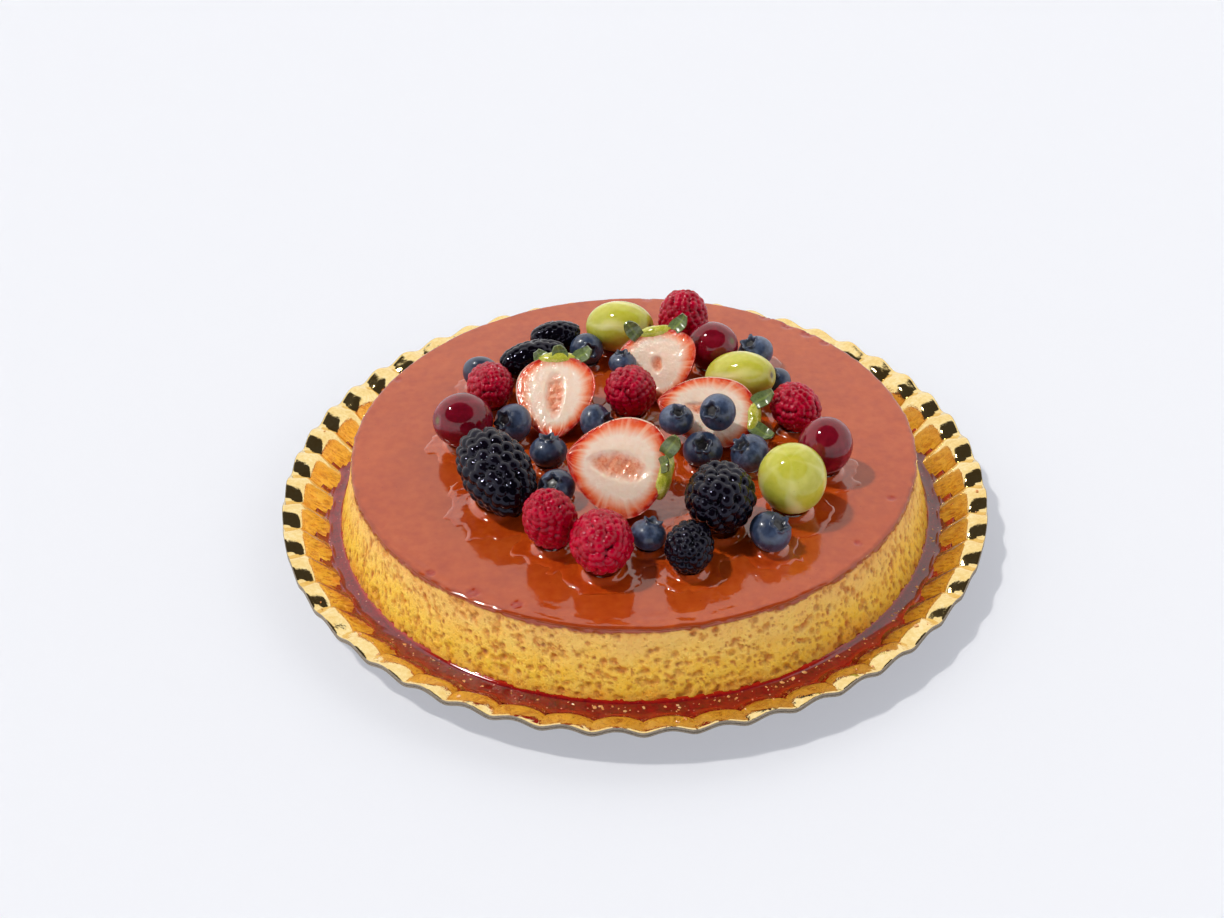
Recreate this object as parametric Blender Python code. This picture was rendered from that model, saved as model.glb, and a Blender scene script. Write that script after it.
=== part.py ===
"""A leche flan in its caramel on a scalloped foil board, with a pile of glazed fruit on top.

Run it with: blender --background --python part.py
Units are metres, +Z is up, and the origin is at the centre of the board's underside. The side that
faces -Y is the front.
"""

import math
import random

import bmesh
import bpy
from mathutils import Matrix, Vector
from mathutils.bvhtree import BVHTree

MM = 0.001

# The board: a flat disc whose border rises steeply and then runs out nearly level. It is pressed into 50
# round-backed lobes with sharp grooves between, one of them straight in front.
BOARD_THICKNESS = 2 * MM
LOBES = 50
FIRST_GROOVE = 0.5
# Where the columns of points stand across a lobe, as shares of its width: groove, shoulder, crest, shoulder.
LOBE_SHARES = (0.0, 0.2, 0.5, 0.8)
# Each ring of the border: its radius, and how high its grooves and its lobes' crests stand over the base.
BORDER_RINGS = (
    (109 * MM, 0.0, 0.0),
    (112 * MM, 0.1 * MM, 3.1 * MM),
    (120.7 * MM, 9.2 * MM, 12.1 * MM),
    (127 * MM, 10.8 * MM, 13.2 * MM),
)

# The custard: it flares a little to its foot, tucks in under it, and stands slightly behind the middle.
CUSTARD_TOP = 28 * MM
CUSTARD_TOP_RADIUS = 101.9 * MM
CUSTARD_FLARE_RADIUS = 107.6 * MM
CUSTARD_UNDERSIDE_RADIUS = 104 * MM
CUSTARD_FLARE_HEIGHT = 4.4 * MM
CUSTARD_FOOT_BACK = 1.6 * MM
CUSTARD_TOP_BACK = 4.2 * MM
CUSTARD_EDGE = 1.4 * MM
CUSTARD_SIDES = 60
CUSTARD_UNEVEN = 0.3 * MM

# The caramel that has run down and stands round the custard's foot.
CARAMEL_LEVEL = 4 * MM
GAP = 0.4 * MM

# A berry's beads: rows from base to tip, beads round its girth, how far they stand out, how much the tip
# narrows, and how deep the open base goes, the last three as shares of the radius, radius and length.
RASPBERRY_BEADS = (9, 10, 0.06, 0.22, 0.25)
BRAMBLE_BEADS = (11, 9, 0.085, 0.12, 0.06)
# Where the girth profile starts at the open base, as a share of half a turn.
BEAD_BASE = 0.12

# A blueberry's profile from its lower pole to the middle of its dish, as shares of its radius.
BLUEBERRY_PROFILE = (
    (0, -0.84),
    (0.62, -0.66),
    (1.0, -0.05),
    (0.80, 0.56),
    (0.42, 0.84),
    (0.34, 0.90),
    (0, 0.68),
)
GRAPE_BLUNTNESS = 0.04

# A strawberry: where it is widest as a share of its length from the stalk, and its thinnest half width.
STRAWBERRY_WIDEST = 0.26
STRAWBERRY_END = 1.2 * MM
# A calyx leaf, and how far its root is sunk into the stalk end and below the cut face.
LEAF_WIDTH = 4.5 * MM
LEAF_THICKNESS = 0.8 * MM
LEAF_WAVE = 0.08
LEAF_ROOT = (2.2 * MM, 1.6 * MM)

# What the fruit keeps clear of each other and of the custard.
FRUIT_GAP = 0.4 * MM
LIFT_STEP = 0.2 * MM

# Each fruit: where its middle is seen from above, in mm from the board's centre, its sizes in mm, and
# how its own axis leans: a tilt from upright in degrees, towards a heading that is 0 at the front and
# 90 at the right. The lower fruits come first, as they were laid.
STRAWBERRY_HALVES = {
    # name: (x, y), (length, width, depth), (tilt, heading, spin of the tip within the cut face)
    "strawberry_half_1": ((-28, 15.9), (34.8, 29.7, 10.7), (30, -12, 8)),
    "strawberry_half_2": ((-6, -33.7), (34.8, 35.8, 12.3), (44, -4, -101)),
    "strawberry_half_3": ((10.4, 34.9), (29.7, 30.7, 11.3), (42, -24, 22)),
    "strawberry_half_4": ((26.8, 4.7), (35.8, 28.7, 9.2), (30, 4, -105)),
}
# Calyx leaves: (sideways offset of the root in mm, length in mm, turn in the face's plane, rise off it)
LEAVES = {
    "strawberry_half_1": ((2, 7, -15, 40), (6.5, 8, 50, 10), (-4, 6, -40, 15)),
    "strawberry_half_2": ((-7, 11, -60, 50), (-3, 9, -20, 75)),
    "strawberry_half_3": ((-6, 10, -30, 55), (6.5, 9, 50, 15)),
    "strawberry_half_4": ((-5, 10, -35, 35), (3, 11, 25, 20)),
}
GRAPES = {
    # name: (x, y), (length, width), (tilt, heading)
    "red_grape_1": ((-60.7, 2.5), (22.5, 20.5), (70, -60)),
    "red_grape_2": ((31.9, 49.7), (20.5, 19.4), (60, 60)),
    "red_grape_3": ((66.2, -19.4), (22, 19.4), (20, 20)),
    "green_grape_1": ((-3.4, 65.1), (27.6, 20.5), (80, 70)),
    "green_grape_2": ((40.6, 26.2), (27.6, 20), (72, 65)),
    "green_grape_3": ((52.4, -40.4), (26.1, 23.5), (25, -20)),
}
RASPBERRIES = {
    # name: (x, y), (length, width), (tilt, heading)
    "raspberry_1": ((21.7, 70.2), (21.5, 21.5), (18, 176)),
    "raspberry_2": ((-52, 26.7), (19.4, 18.4), (70, 20)),
    "raspberry_3": ((-0.6, 18.7), (20.5, 20.5), (55, -20)),
    "raspberry_4": ((59.5, 8.3), (19.4, 18.4), (95, 30)),
    "raspberry_5": ((-28.5, -56.2), (22.5, 19.4), (25, -26)),
    "raspberry_6": ((-11.6, -68.8), (22, 22.5), (70, 6)),
}
BRAMBLES = {
    # name: (x, y), (length, width), (tilt, heading)
    "bramble_1": ((-46.9, -31.1), (36.8, 23), (100, 28)),
    "bramble_2": ((27.6, -49.4), (27.6, 24), (66, -13)),
    "bramble_3": ((-36.2, 46.1), (26.6, 15.4), (86, -68)),
    "bramble_4": ((-28, 63.5), (20.5, 13.3), (86, -80)),
    "bramble_5": ((16.3, -69), (17.9, 16.4), (85, -12)),
}
BLUEBERRIES = {
    # name: (x, y), width, (tilt, heading)
    "blueberry_1": ((-56.6, 39.7), 13.9, (110, 0)),
    "blueberry_2": ((-42.8, 5.7), 14.7, (50, -47)),
    "blueberry_3": ((-30, -11.2), 13.7, (12, 170)),
    "blueberry_4": ((-26.9, -32.2), 13.7, (35, -31)),
    "blueberry_5": ((-12.9, 5.6), 13.5, (72, 60)),
    "blueberry_6": ((-16.5, 54.3), 13.3, (66, 12)),
    "blueberry_7": ((-2.9, 34.9), 10.6, (12, 170)),
    "blueberry_8": ((48.8, 50.2), 14.7, (28, -80)),
    "blueberry_9": ((55.2, 31.5), 11.3, (34, -60)),
    "blueberry_10": ((15.5, -4), 12.7, (20, 22)),
    "blueberry_11": ((30.2, -5.6), 13.7, (55, -42)),
    "blueberry_12": ((24.3, -13), 14.1, (33, -4)),
    "blueberry_13": ((40.6, -16.3), 14.7, (38, -80)),
    "blueberry_14": ((3.7, -58.6), 12.9, (25, 130)),
    "blueberry_15": ((43.2, -59.8), 14.9, (35, 58)),
}
LAYING_ORDER = (
    "strawberry_half_1", "strawberry_half_2", "strawberry_half_3", "strawberry_half_4",
    "red_grape_1", "red_grape_2", "red_grape_3", "green_grape_1", "green_grape_2", "green_grape_3",
    "bramble_1", "bramble_2", "bramble_3", "bramble_4", "bramble_5",
    "raspberry_1", "raspberry_2", "raspberry_4", "raspberry_5", "raspberry_6",
    "blueberry_1", "blueberry_2", "blueberry_3", "blueberry_4", "blueberry_6", "blueberry_7",
    "blueberry_8", "blueberry_9", "blueberry_14", "blueberry_15",
    "raspberry_3", "blueberry_5", "blueberry_10", "blueberry_12", "blueberry_13", "blueberry_11",
)

# Colour, roughness and metallic value of each material.
FINISHES = {
    "gold_foil": ((0.85, 0.62, 0.28), 0.18, 1.0),
    "custard": ((0.86, 0.60, 0.22), 0.45, 0.0),
    "caramel": ((0.30, 0.04, 0.02), 0.08, 0.0),
    "strawberry": ((0.70, 0.05, 0.03), 0.25, 0.0),
    "raspberry": ((0.55, 0.01, 0.05), 0.25, 0.0),
    "bramble": ((0.03, 0.02, 0.04), 0.15, 0.0),
    "blueberry": ((0.06, 0.08, 0.16), 0.45, 0.0),
    "red_grape": ((0.22, 0.01, 0.04), 0.12, 0.0),
    "green_grape": ((0.48, 0.52, 0.12), 0.15, 0.0),
}


def clear_scene():
    """Removes every object that is in the scene."""
    for obj in list(bpy.data.objects):
        bpy.data.objects.remove(obj)


def material(name):
    """The Principled material of this name, made once."""
    found = bpy.data.materials.get(name)
    if found:
        return found
    colour, roughness, metallic = FINISHES[name]
    made = bpy.data.materials.new(name)
    made.use_nodes = True
    shader = made.node_tree.nodes["Principled BSDF"]
    shader.inputs["Base Color"].default_value = (*colour, 1)
    shader.inputs["Roughness"].default_value = roughness
    shader.inputs["Metallic"].default_value = metallic
    return made


def make_object(name, bm, finish, smooth_angle=40):
    """An object of this bmesh, faces pointing out, smooth but for edges past smooth_angle degrees."""
    bmesh.ops.recalc_face_normals(bm, faces=bm.faces)
    mesh = bpy.data.meshes.new(name)
    bm.to_mesh(mesh)
    bm.free()
    mesh.shade_smooth()
    mesh.set_sharp_from_angle(angle=math.radians(smooth_angle))
    mesh.materials.append(material(finish))
    obj = bpy.data.objects.new(name, mesh)
    bpy.context.scene.collection.objects.link(obj)
    return obj


def skin(bm, rows, closed_rows=True):
    """Faces between neighbouring rows of vertices. A row of one vertex is a pole."""
    for lower, upper in zip(rows, rows[1:]):
        count = max(len(lower), len(upper))
        for i in range(count if closed_rows else count - 1):
            j = (i + 1) % count
            if len(lower) == 1:
                bm.faces.new((lower[0], upper[j], upper[i]))
            elif len(upper) == 1:
                bm.faces.new((lower[i], lower[j], upper[0]))
            else:
                bm.faces.new((lower[i], lower[j], upper[j], upper[i]))


def ring(bm, radius, height, sides, phase=0.0):
    """A level ring of vertices round the Z axis."""
    angles = (2 * math.pi * (i + phase) / sides for i in range(sides))
    return [bm.verts.new((radius * math.cos(a), radius * math.sin(a), height)) for a in angles]


def turned(bm, profile, sides):
    """A closed turned shape: profile is (radius, height) from the lower pole to the upper one."""
    rows = []
    for radius, height in profile:
        rows.append(ring(bm, radius, height, sides) if radius > 0 else [bm.verts.new((0, 0, height))])
    skin(bm, rows)


# The board


def lobe_arch(share):
    """Height of a lobe's round back at this share of its width: 0 in the grooves, 1 on the crest."""
    return (1 - (2 * share - 1) ** 2) ** 0.8


def border_angles():
    """The angle and the share of the lobe's width of every column of points round the border."""
    return [
        (2 * math.pi * (FIRST_GROOVE + lobe + share) / LOBES, share)
        for lobe in range(LOBES)
        for share in LOBE_SHARES
    ]


def board_top(share, ring_index):
    """Height of the board's upper face at a share of a lobe's width and a ring of the border."""
    _, groove, crest = BORDER_RINGS[ring_index]
    return BOARD_THICKNESS + groove + (crest - groove) * lobe_arch(share)


def board_point(angle, ring_index, height):
    """A point on a ring of the border."""
    radius = BORDER_RINGS[ring_index][0]
    return Vector((radius * math.cos(angle), radius * math.sin(angle), height))


def make_board():
    """The foil board, whose border keeps the same thickness as its base."""
    bm = bmesh.new()

    def row(ring_index, drop):
        return [
            bm.verts.new(board_point(angle, ring_index, board_top(share, ring_index) - drop))
            for angle, share in border_angles()
        ]

    upper = [row(i, 0) for i in range(len(BORDER_RINGS))]
    lower = [row(i, BOARD_THICKNESS) for i in range(len(BORDER_RINGS))]
    skin(bm, upper + lower[::-1])
    bm.faces.new(upper[0])
    bm.faces.new(lower[0])
    return make_object("board", bm, "gold_foil", smooth_angle=50)


# The custard and its caramel


def custard_radius(height):
    """Radius of the custard at this height: tucked in below its flare, then a nearly straight wall."""
    if height < CUSTARD_FLARE_HEIGHT:
        share = (CUSTARD_FLARE_HEIGHT - height) / (CUSTARD_FLARE_HEIGHT - BOARD_THICKNESS)
        return CUSTARD_FLARE_RADIUS - (CUSTARD_FLARE_RADIUS - CUSTARD_UNDERSIDE_RADIUS) * share
    share = (height - CUSTARD_FLARE_HEIGHT) / (CUSTARD_TOP - CUSTARD_FLARE_HEIGHT)
    return CUSTARD_TOP_RADIUS + (CUSTARD_FLARE_RADIUS - CUSTARD_TOP_RADIUS) * (1 - share) ** 1.4


def custard_back(height):
    """How far behind the board's centre the custard's middle is at this height."""
    share = height / CUSTARD_TOP
    return CUSTARD_FOOT_BACK + (CUSTARD_TOP_BACK - CUSTARD_FOOT_BACK) * share


def custard_ring(bm, height, radius, sides):
    """A level ring of vertices round the custard's own middle."""
    verts = ring(bm, radius, height, sides)
    bmesh.ops.translate(bm, verts=verts, vec=(0, custard_back(height), 0))
    return verts


def make_custard():
    """One soft disc of custard, with the slight unevenness of a set cream."""
    rng = random.Random(4)
    foot = BOARD_THICKNESS + GAP
    bm = bmesh.new()
    rows = [custard_ring(bm, foot, custard_radius(foot), CUSTARD_SIDES)]
    for height in (CUSTARD_FLARE_HEIGHT, 8.5 * MM, 13 * MM, 19 * MM, CUSTARD_TOP - CUSTARD_EDGE):
        verts = custard_ring(bm, height, custard_radius(height), CUSTARD_SIDES)
        for vert in verts:
            push = 1 + CUSTARD_UNEVEN / CUSTARD_TOP_RADIUS * rng.uniform(-1, 1)
            vert.co.x *= push
            vert.co.y *= push
        rows.append(verts)
    edge = CUSTARD_TOP_RADIUS - CUSTARD_EDGE
    rounding = CUSTARD_TOP - 0.3 * CUSTARD_EDGE
    rows.append(custard_ring(bm, rounding, edge + 0.75 * CUSTARD_EDGE, CUSTARD_SIDES))
    rows.append(custard_ring(bm, CUSTARD_TOP, edge, CUSTARD_SIDES))
    skin(bm, rows)
    bm.faces.new(rows[0])
    bm.faces.new(rows[-1])
    return make_object("custard", bm, "custard")


def caramel_shore(angle, share):
    """Where the caramel ends at this angle, which is where the border rises to it."""
    limit = CARAMEL_LEVEL - 1.5 * GAP
    for i in range(len(BORDER_RINGS) - 1):
        low, high = board_top(share, i), board_top(share, i + 1)
        if high >= limit:
            return board_point(angle, i, 0).lerp(board_point(angle, i + 1, 0), (limit - low) / (high - low))
    raise ValueError("the border never rises to the caramel")


def make_caramel():
    """The pool of caramel: a ring from the custard's foot to the lobes, running in between their ends."""
    bm = bmesh.new()
    floor = BOARD_THICKNESS + GAP
    inner_low, inner_high, floor_edge, shore_edge = [], [], [], []
    for angle, share in border_angles():
        across = Vector((math.cos(angle), math.sin(angle), 0))
        shore = caramel_shore(angle, share)
        base = board_point(angle, 0, 0)
        for verts, height in ((inner_low, floor), (inner_high, CARAMEL_LEVEL)):
            reach = custard_radius(height) + GAP + CUSTARD_UNEVEN
            middle = Vector((0, custard_back(height), height))
            verts.append(bm.verts.new(middle + across * reach))
        floor_edge.append(bm.verts.new(base - across * 2 * GAP + Vector((0, 0, floor))))
        shore_edge.append(bm.verts.new(shore + Vector((0, 0, CARAMEL_LEVEL))))
    skin(bm, [inner_low, inner_high, shore_edge, floor_edge, inner_low])
    return make_object("caramel_pool", bm, "caramel")


# Fruit, each built round its own middle with its axis along Z


def grape_mesh(length, width):
    """An egg-like grape, a little blunter at its stalk end."""
    bm = bmesh.new()
    rows = 8
    profile = []
    for i in range(rows + 1):
        angle = math.pi * i / rows
        blunt = 1 + GRAPE_BLUNTNESS * math.cos(angle)
        radius = width / 2 * math.sin(angle) * blunt if 0 < i < rows else 0
        profile.append((radius, -length / 2 * math.cos(angle)))
    turned(bm, profile, sides=14)
    return bm


def blueberry_mesh(width):
    """A flattened ball with a raised crown round a shallow dish."""
    bm = bmesh.new()
    profile = [(radius * width / 2, height * width / 2) for radius, height in BLUEBERRY_PROFILE]
    turned(bm, profile, sides=12)
    return bm


def bead_skin(bm, lower, upper, row_number):
    """Triangles between two rows of beads, split so that every second point of a row stands out as a bead."""
    count = len(lower)
    for i in range(count):
        j = (i + 1) % count
        if (row_number + i) % 2 == 0:
            bm.faces.new((lower[i], lower[j], upper[i]))
            bm.faces.new((lower[j], upper[j], upper[i]))
        else:
            bm.faces.new((lower[i], lower[j], upper[j]))
            bm.faces.new((lower[i], upper[j], upper[i]))


def bead_berry_mesh(length, width, beads):
    """A berry made of staggered round beads, tip upwards, open at its base like a picked berry."""
    rows, around, bump, taper, hollow = beads
    bm = bmesh.new()
    columns = 2 * around
    grid = []
    for i in range(1, rows):
        along = i / rows
        angle = math.pi * (BEAD_BASE + (1 - BEAD_BASE) * along)
        radius = width / 2 * math.sin(angle) ** 0.75 * (1 - taper * along)
        height = -length / 2 * math.cos(angle)
        row = []
        for j in range(columns):
            out = 1 + bump * (0.6 if (i + j) % 2 == 0 else -1.0)
            turn = 2 * math.pi * j / columns
            across = radius * out
            row.append(bm.verts.new((across * math.cos(turn), across * math.sin(turn), height * out)))
        grid.append(row)
    base = bm.verts.new((0, 0, length * (hollow - 0.5)))
    tip = bm.verts.new((0, 0, length / 2))
    skin(bm, [[base], grid[0]])
    for number, (lower, upper) in enumerate(zip(grid, grid[1:]), start=1):
        bead_skin(bm, lower, upper, number)
    skin(bm, [grid[-1], [tip]])
    return bm


def strawberry_radius(share):
    """Half width of a strawberry at this share of its length from the stalk, 1 at its widest."""
    shoulder = min(1.0, share / STRAWBERRY_WIDEST) ** 0.5
    taper = math.cos(math.pi / 2 * max(0.0, share - STRAWBERRY_WIDEST) / (1 - STRAWBERRY_WIDEST))
    return shoulder * max(0.0, taper) ** 0.72


def strawberry_mesh(length, width, depth):
    """Half a strawberry with its flat cut face up, its stalk end at +Y and its tip at -Y."""
    bm = bmesh.new()
    stations = 9
    around = 8
    rows = []
    for i in range(stations + 1):
        share = i / stations
        y = length * (0.5 - share)
        half = max(width / 2 * strawberry_radius(share), STRAWBERRY_END)
        sunk = depth * half / (width / 2)
        row = []
        for j in range(around + 1):
            angle = math.pi * j / around
            row.append(bm.verts.new((half * math.cos(angle), y, -sunk * math.sin(angle))))
        rows.append(row)
    skin(bm, rows, closed_rows=False)
    for first, second in zip(rows, rows[1:]):
        bm.faces.new((first[0], first[-1], second[-1], second[0]))
    bm.faces.new(rows[0])
    bm.faces.new(rows[-1])
    return bm


def leaf_mesh(length):
    """A thin wavy leaf along +Y from the origin, with both faces split alike."""
    bm = bmesh.new()
    stations = 5
    rows = []
    for i in range(stations):
        share = i / (stations - 1)
        half = LEAF_WIDTH / 2 * (0.35 + 0.65 * math.sin(math.pi * (0.15 + 0.85 * share)))
        wave = LEAF_WAVE * length * math.sin(2.2 * math.pi * share)
        side = [(-half, LEAF_THICKNESS / 2), (0, 0.0), (half, LEAF_THICKNESS / 2)]
        top = [bm.verts.new((x, length * share, wave + z + LEAF_THICKNESS / 2)) for x, z in side]
        bottom = [bm.verts.new((x, length * share, wave + z - LEAF_THICKNESS / 2)) for x, z in side]
        rows.append(top + bottom[::-1])
    skin(bm, rows)
    bm.faces.new(rows[0])
    bm.faces.new(rows[-1])
    bmesh.ops.triangulate(bm, faces=bm.faces)
    return bm


def add_leaves(berry, length, leaves):
    """Joins calyx leaves to the stalk end of a strawberry half."""
    helpers = bpy.data.collections.new("leaves_of_" + berry.name)
    sunk, below = LEAF_ROOT
    for number, (sideways, leaf_length, turn, rise) in enumerate(leaves):
        bm = leaf_mesh(leaf_length * MM)
        place = (
            Matrix.Translation((sideways * MM, length * MM / 2 - sunk, -below))
            @ Matrix.Rotation(math.radians(-turn), 4, "Z")
            @ Matrix.Rotation(math.radians(rise), 4, "X")
        )
        bmesh.ops.transform(bm, matrix=place, verts=bm.verts)
        leaf = make_object(f"{berry.name}_leaf_{number}", bm, "strawberry")
        bpy.context.scene.collection.objects.unlink(leaf)
        helpers.objects.link(leaf)
    bpy.context.scene.collection.children.link(helpers)
    union = berry.modifiers.new("leaves", "BOOLEAN")
    union.operation = "UNION"
    union.operand_type = "COLLECTION"
    union.collection = helpers
    union.solver = "EXACT"
    graph = bpy.context.evaluated_depsgraph_get()
    joined = bpy.data.meshes.new_from_object(berry.evaluated_get(graph))
    berry.modifiers.remove(union)
    berry.data = joined
    for leaf in list(helpers.objects):
        bpy.data.objects.remove(leaf)
    bpy.data.collections.remove(helpers)


def turned_to(tilt, heading, spin=0.0):
    """A turn of spin about the Z axis, then a lean of tilt degrees towards heading."""
    return (
        Matrix.Rotation(math.radians(heading), 4, "Z")
        @ Matrix.Rotation(math.radians(tilt), 4, "X")
        @ Matrix.Rotation(math.radians(spin), 4, "Z")
    )


def oriented(bm, tilt, heading):
    """The same mesh, turned as a fruit lies."""
    bmesh.ops.transform(bm, matrix=turned_to(tilt, heading), verts=bm.verts)
    return bm


def make_fruit(name):
    """The fruit of this name as a mesh round its own middle, turned as it lies."""
    if name in STRAWBERRY_HALVES:
        at, (length, width, depth), (tilt, heading, spin) = STRAWBERRY_HALVES[name]
        bm = strawberry_mesh(length * MM, width * MM, depth * MM)
        berry = make_object(name, bm, "strawberry", smooth_angle=50)
        add_leaves(berry, length, LEAVES[name])
        berry.data.transform(turned_to(tilt, heading, spin))
        return at, berry
    if name in GRAPES:
        at, (length, width), (tilt, heading) = GRAPES[name]
        bm = oriented(grape_mesh(length * MM, width * MM), tilt, heading)
        return at, make_object(name, bm, name[: name.rindex("_")])
    if name in RASPBERRIES:
        at, (length, width), (tilt, heading) = RASPBERRIES[name]
        bm = oriented(bead_berry_mesh(length * MM, width * MM, RASPBERRY_BEADS), tilt, heading)
        return at, make_object(name, bm, "raspberry", smooth_angle=60)
    if name in BRAMBLES:
        at, (length, width), (tilt, heading) = BRAMBLES[name]
        bm = oriented(bead_berry_mesh(length * MM, width * MM, BRAMBLE_BEADS), tilt, heading)
        return at, make_object(name, bm, "bramble", smooth_angle=60)
    at, width, (tilt, heading) = BLUEBERRIES[name]
    return at, make_object(name, oriented(blueberry_mesh(width * MM), tilt, heading), "blueberry")


def world_tree(obj, swell=0.0):
    """A search tree of the object's faces in world space, pushed out from its middle by swell."""
    points = [obj.location + vert.co + vert.co.normalized() * swell for vert in obj.data.vertices]
    return BVHTree.FromPolygons(points, [tuple(face.vertices) for face in obj.data.polygons])


def settle(obj, at, laid):
    """Sets a fruit on the custard at this place, and raises it until it clears the fruit laid before it."""
    lowest = min(vert.co.z for vert in obj.data.vertices)
    obj.location = (at[0] * MM, at[1] * MM, CUSTARD_TOP + FRUIT_GAP - lowest)
    while any(world_tree(obj, swell=FRUIT_GAP).overlap(other) for other in laid):
        obj.location.z += LIFT_STEP
    laid.append(world_tree(obj))


def lay_fruit():
    """Lays every fruit on the custard, in the order in which they rest on each other."""
    laid = []
    for name in LAYING_ORDER:
        at, obj = make_fruit(name)
        settle(obj, at, laid)


def main():
    """Builds the whole dessert."""
    clear_scene()
    make_board()
    make_custard()
    make_caramel()
    lay_fruit()


main()
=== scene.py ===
"""A glazed fruit leche flan on its scalloped gold board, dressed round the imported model.

Every length in the tables is in millimetres, and becomes metres where a mesh is made.
The front is -Y and up is +Z.
"""

import logging
import math
from contextlib import contextmanager
from dataclasses import dataclass, field
from enum import Enum
from typing import Callable, Iterator, Sequence

import bmesh
import bpy
import numpy as np
from mathutils import Matrix, Vector


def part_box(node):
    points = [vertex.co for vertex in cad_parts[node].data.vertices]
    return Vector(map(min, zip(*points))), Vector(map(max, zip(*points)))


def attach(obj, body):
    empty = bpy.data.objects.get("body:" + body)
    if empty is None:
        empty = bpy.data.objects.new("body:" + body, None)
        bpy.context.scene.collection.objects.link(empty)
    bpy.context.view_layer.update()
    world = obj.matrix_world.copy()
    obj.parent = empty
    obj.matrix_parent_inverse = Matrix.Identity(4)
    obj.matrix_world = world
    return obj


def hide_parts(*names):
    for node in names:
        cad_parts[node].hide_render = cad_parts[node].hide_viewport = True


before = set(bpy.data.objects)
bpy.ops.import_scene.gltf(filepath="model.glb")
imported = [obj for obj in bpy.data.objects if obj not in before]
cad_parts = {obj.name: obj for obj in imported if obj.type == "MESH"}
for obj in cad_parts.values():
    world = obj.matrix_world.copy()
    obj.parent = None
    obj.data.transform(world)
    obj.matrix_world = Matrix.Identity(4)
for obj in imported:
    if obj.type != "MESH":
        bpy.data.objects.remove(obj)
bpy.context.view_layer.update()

MM = 0.001
LOG = logging.getLogger("flan")

Array = np.ndarray
Colour = tuple[float, float, float, float]


def tone(code: str) -> Colour:
    """Linear colour of a six digit sRGB code.

    Args:
        code: Six hexadecimal digits.

    Returns:
        The colour, with its alpha.
    """
    parts = [int(code[i : i + 2], 16) / 255 for i in (0, 2, 4)]
    red, green, blue = (((c + 0.055) / 1.055) ** 2.4 if c > 0.04045 else c / 12.92 for c in parts)
    return (red, green, blue, 1.0)


# The bench: Blender's own tools, each started from a clean selection


def clear_selection() -> None:
    """Leaves edit mode and deselects everything."""
    if bpy.context.object and bpy.context.object.mode != "OBJECT":
        bpy.ops.object.mode_set(mode="OBJECT")
    bpy.ops.object.select_all(action="DESELECT")


def pick(obj: bpy.types.Object) -> None:
    """Makes this object the only selected and the active one.

    Args:
        obj: The object.
    """
    clear_selection()
    obj.select_set(True)
    bpy.context.view_layer.objects.active = obj


def fresh(name: str) -> bpy.types.Object:
    """Names the primitive that was just added.

    Args:
        name: What it is called.

    Returns:
        The object.
    """
    obj = bpy.context.object
    obj.name = obj.data.name = name
    return obj


@contextmanager
def edit_mode(obj: bpy.types.Object) -> Iterator[None]:
    """Edit mode on this object alone, with all of it selected.

    Args:
        obj: The object.

    Yields:
        Once, while the object is being edited.
    """
    pick(obj)
    bpy.ops.object.mode_set(mode="EDIT")
    bpy.ops.mesh.select_mode(type="VERT")
    bpy.ops.mesh.select_all(action="SELECT")
    try:
        yield
    finally:
        bpy.ops.object.mode_set(mode="OBJECT")


def points_of(obj: bpy.types.Object) -> Array:
    """The object's vertices as rows of x, y, z in metres.

    Args:
        obj: The object.

    Returns:
        One row for each vertex.
    """
    flat = np.empty(len(obj.data.vertices) * 3)
    obj.data.vertices.foreach_get("co", flat)
    return flat.reshape(-1, 3)


def set_points(obj: bpy.types.Object, points: Array) -> None:
    """Moves the object's vertices to these places."""
    obj.data.vertices.foreach_set("co", np.ascontiguousarray(points, dtype=float).ravel())
    obj.data.update()


def sculpt(obj: bpy.types.Object, shape: Callable[[Array], Array]) -> None:
    """Moves every vertex by a function of all places.

    Args:
        obj: The mesh to shape.
        shape: Takes and returns rows of x, y, z in metres.
    """
    set_points(obj, shape(points_of(obj)))


def write_masks(obj: bpy.types.Object, masks: dict[str, Array]) -> None:
    """Keeps one number for each vertex under each name, for the finish to read.

    Args:
        obj: The object.
        masks: Names and their rows of numbers.
    """
    for name, values in masks.items():
        layer = obj.data.attributes.new(name, "FLOAT", "POINT")
        layer.data.foreach_set("value", np.ascontiguousarray(values, dtype=float))


def spread_edges(reach: float, new_reach: float, rise: float = 0.0) -> None:
    """Draws a wall out of the selected ring of edges, towards or away from the Z axis.

    Args:
        reach: The ring's radius.
        new_reach: The radius of the wall's far edge, in the same unit.
        rise: How far up the wall goes, in metres.
    """
    bpy.ops.mesh.extrude_edges_move(TRANSFORM_OT_translate={"value": (0, 0, rise)})
    scale = new_reach / reach
    bpy.ops.transform.resize(value=(scale, scale, 1.0), center_override=(0, 0, 0))


def close_and_turn_out() -> None:
    """Fills the selected ring, and turns the faces of the whole mesh outwards."""
    bpy.ops.mesh.edge_face_add()
    bpy.ops.mesh.select_all(action="SELECT")
    bpy.ops.mesh.normals_make_consistent(inside=False)


def near(value: Array, middle: float, reach: float, power: float = 2) -> Array:
    """1 at the middle, falling softly to 0 past the reach to either side."""
    return np.exp(-(((value - middle) / reach) ** power))


def part_way(value: Array, start: float, end: float) -> Array:
    """0 before the start, 1 past the end, and a straight run between."""
    return np.clip((value - start) / (end - start), 0, 1)


def close_up(obj: bpy.types.Object, within: float = 0.004 * MM) -> None:
    """Merges vertices that lie together, and turns all faces outwards.

    Args:
        obj: The object.
        within: How near to each other merged vertices lie, in metres.
    """
    with edit_mode(obj):
        bpy.ops.mesh.remove_doubles(threshold=within)
        bpy.ops.mesh.normals_make_consistent(inside=False)


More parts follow.
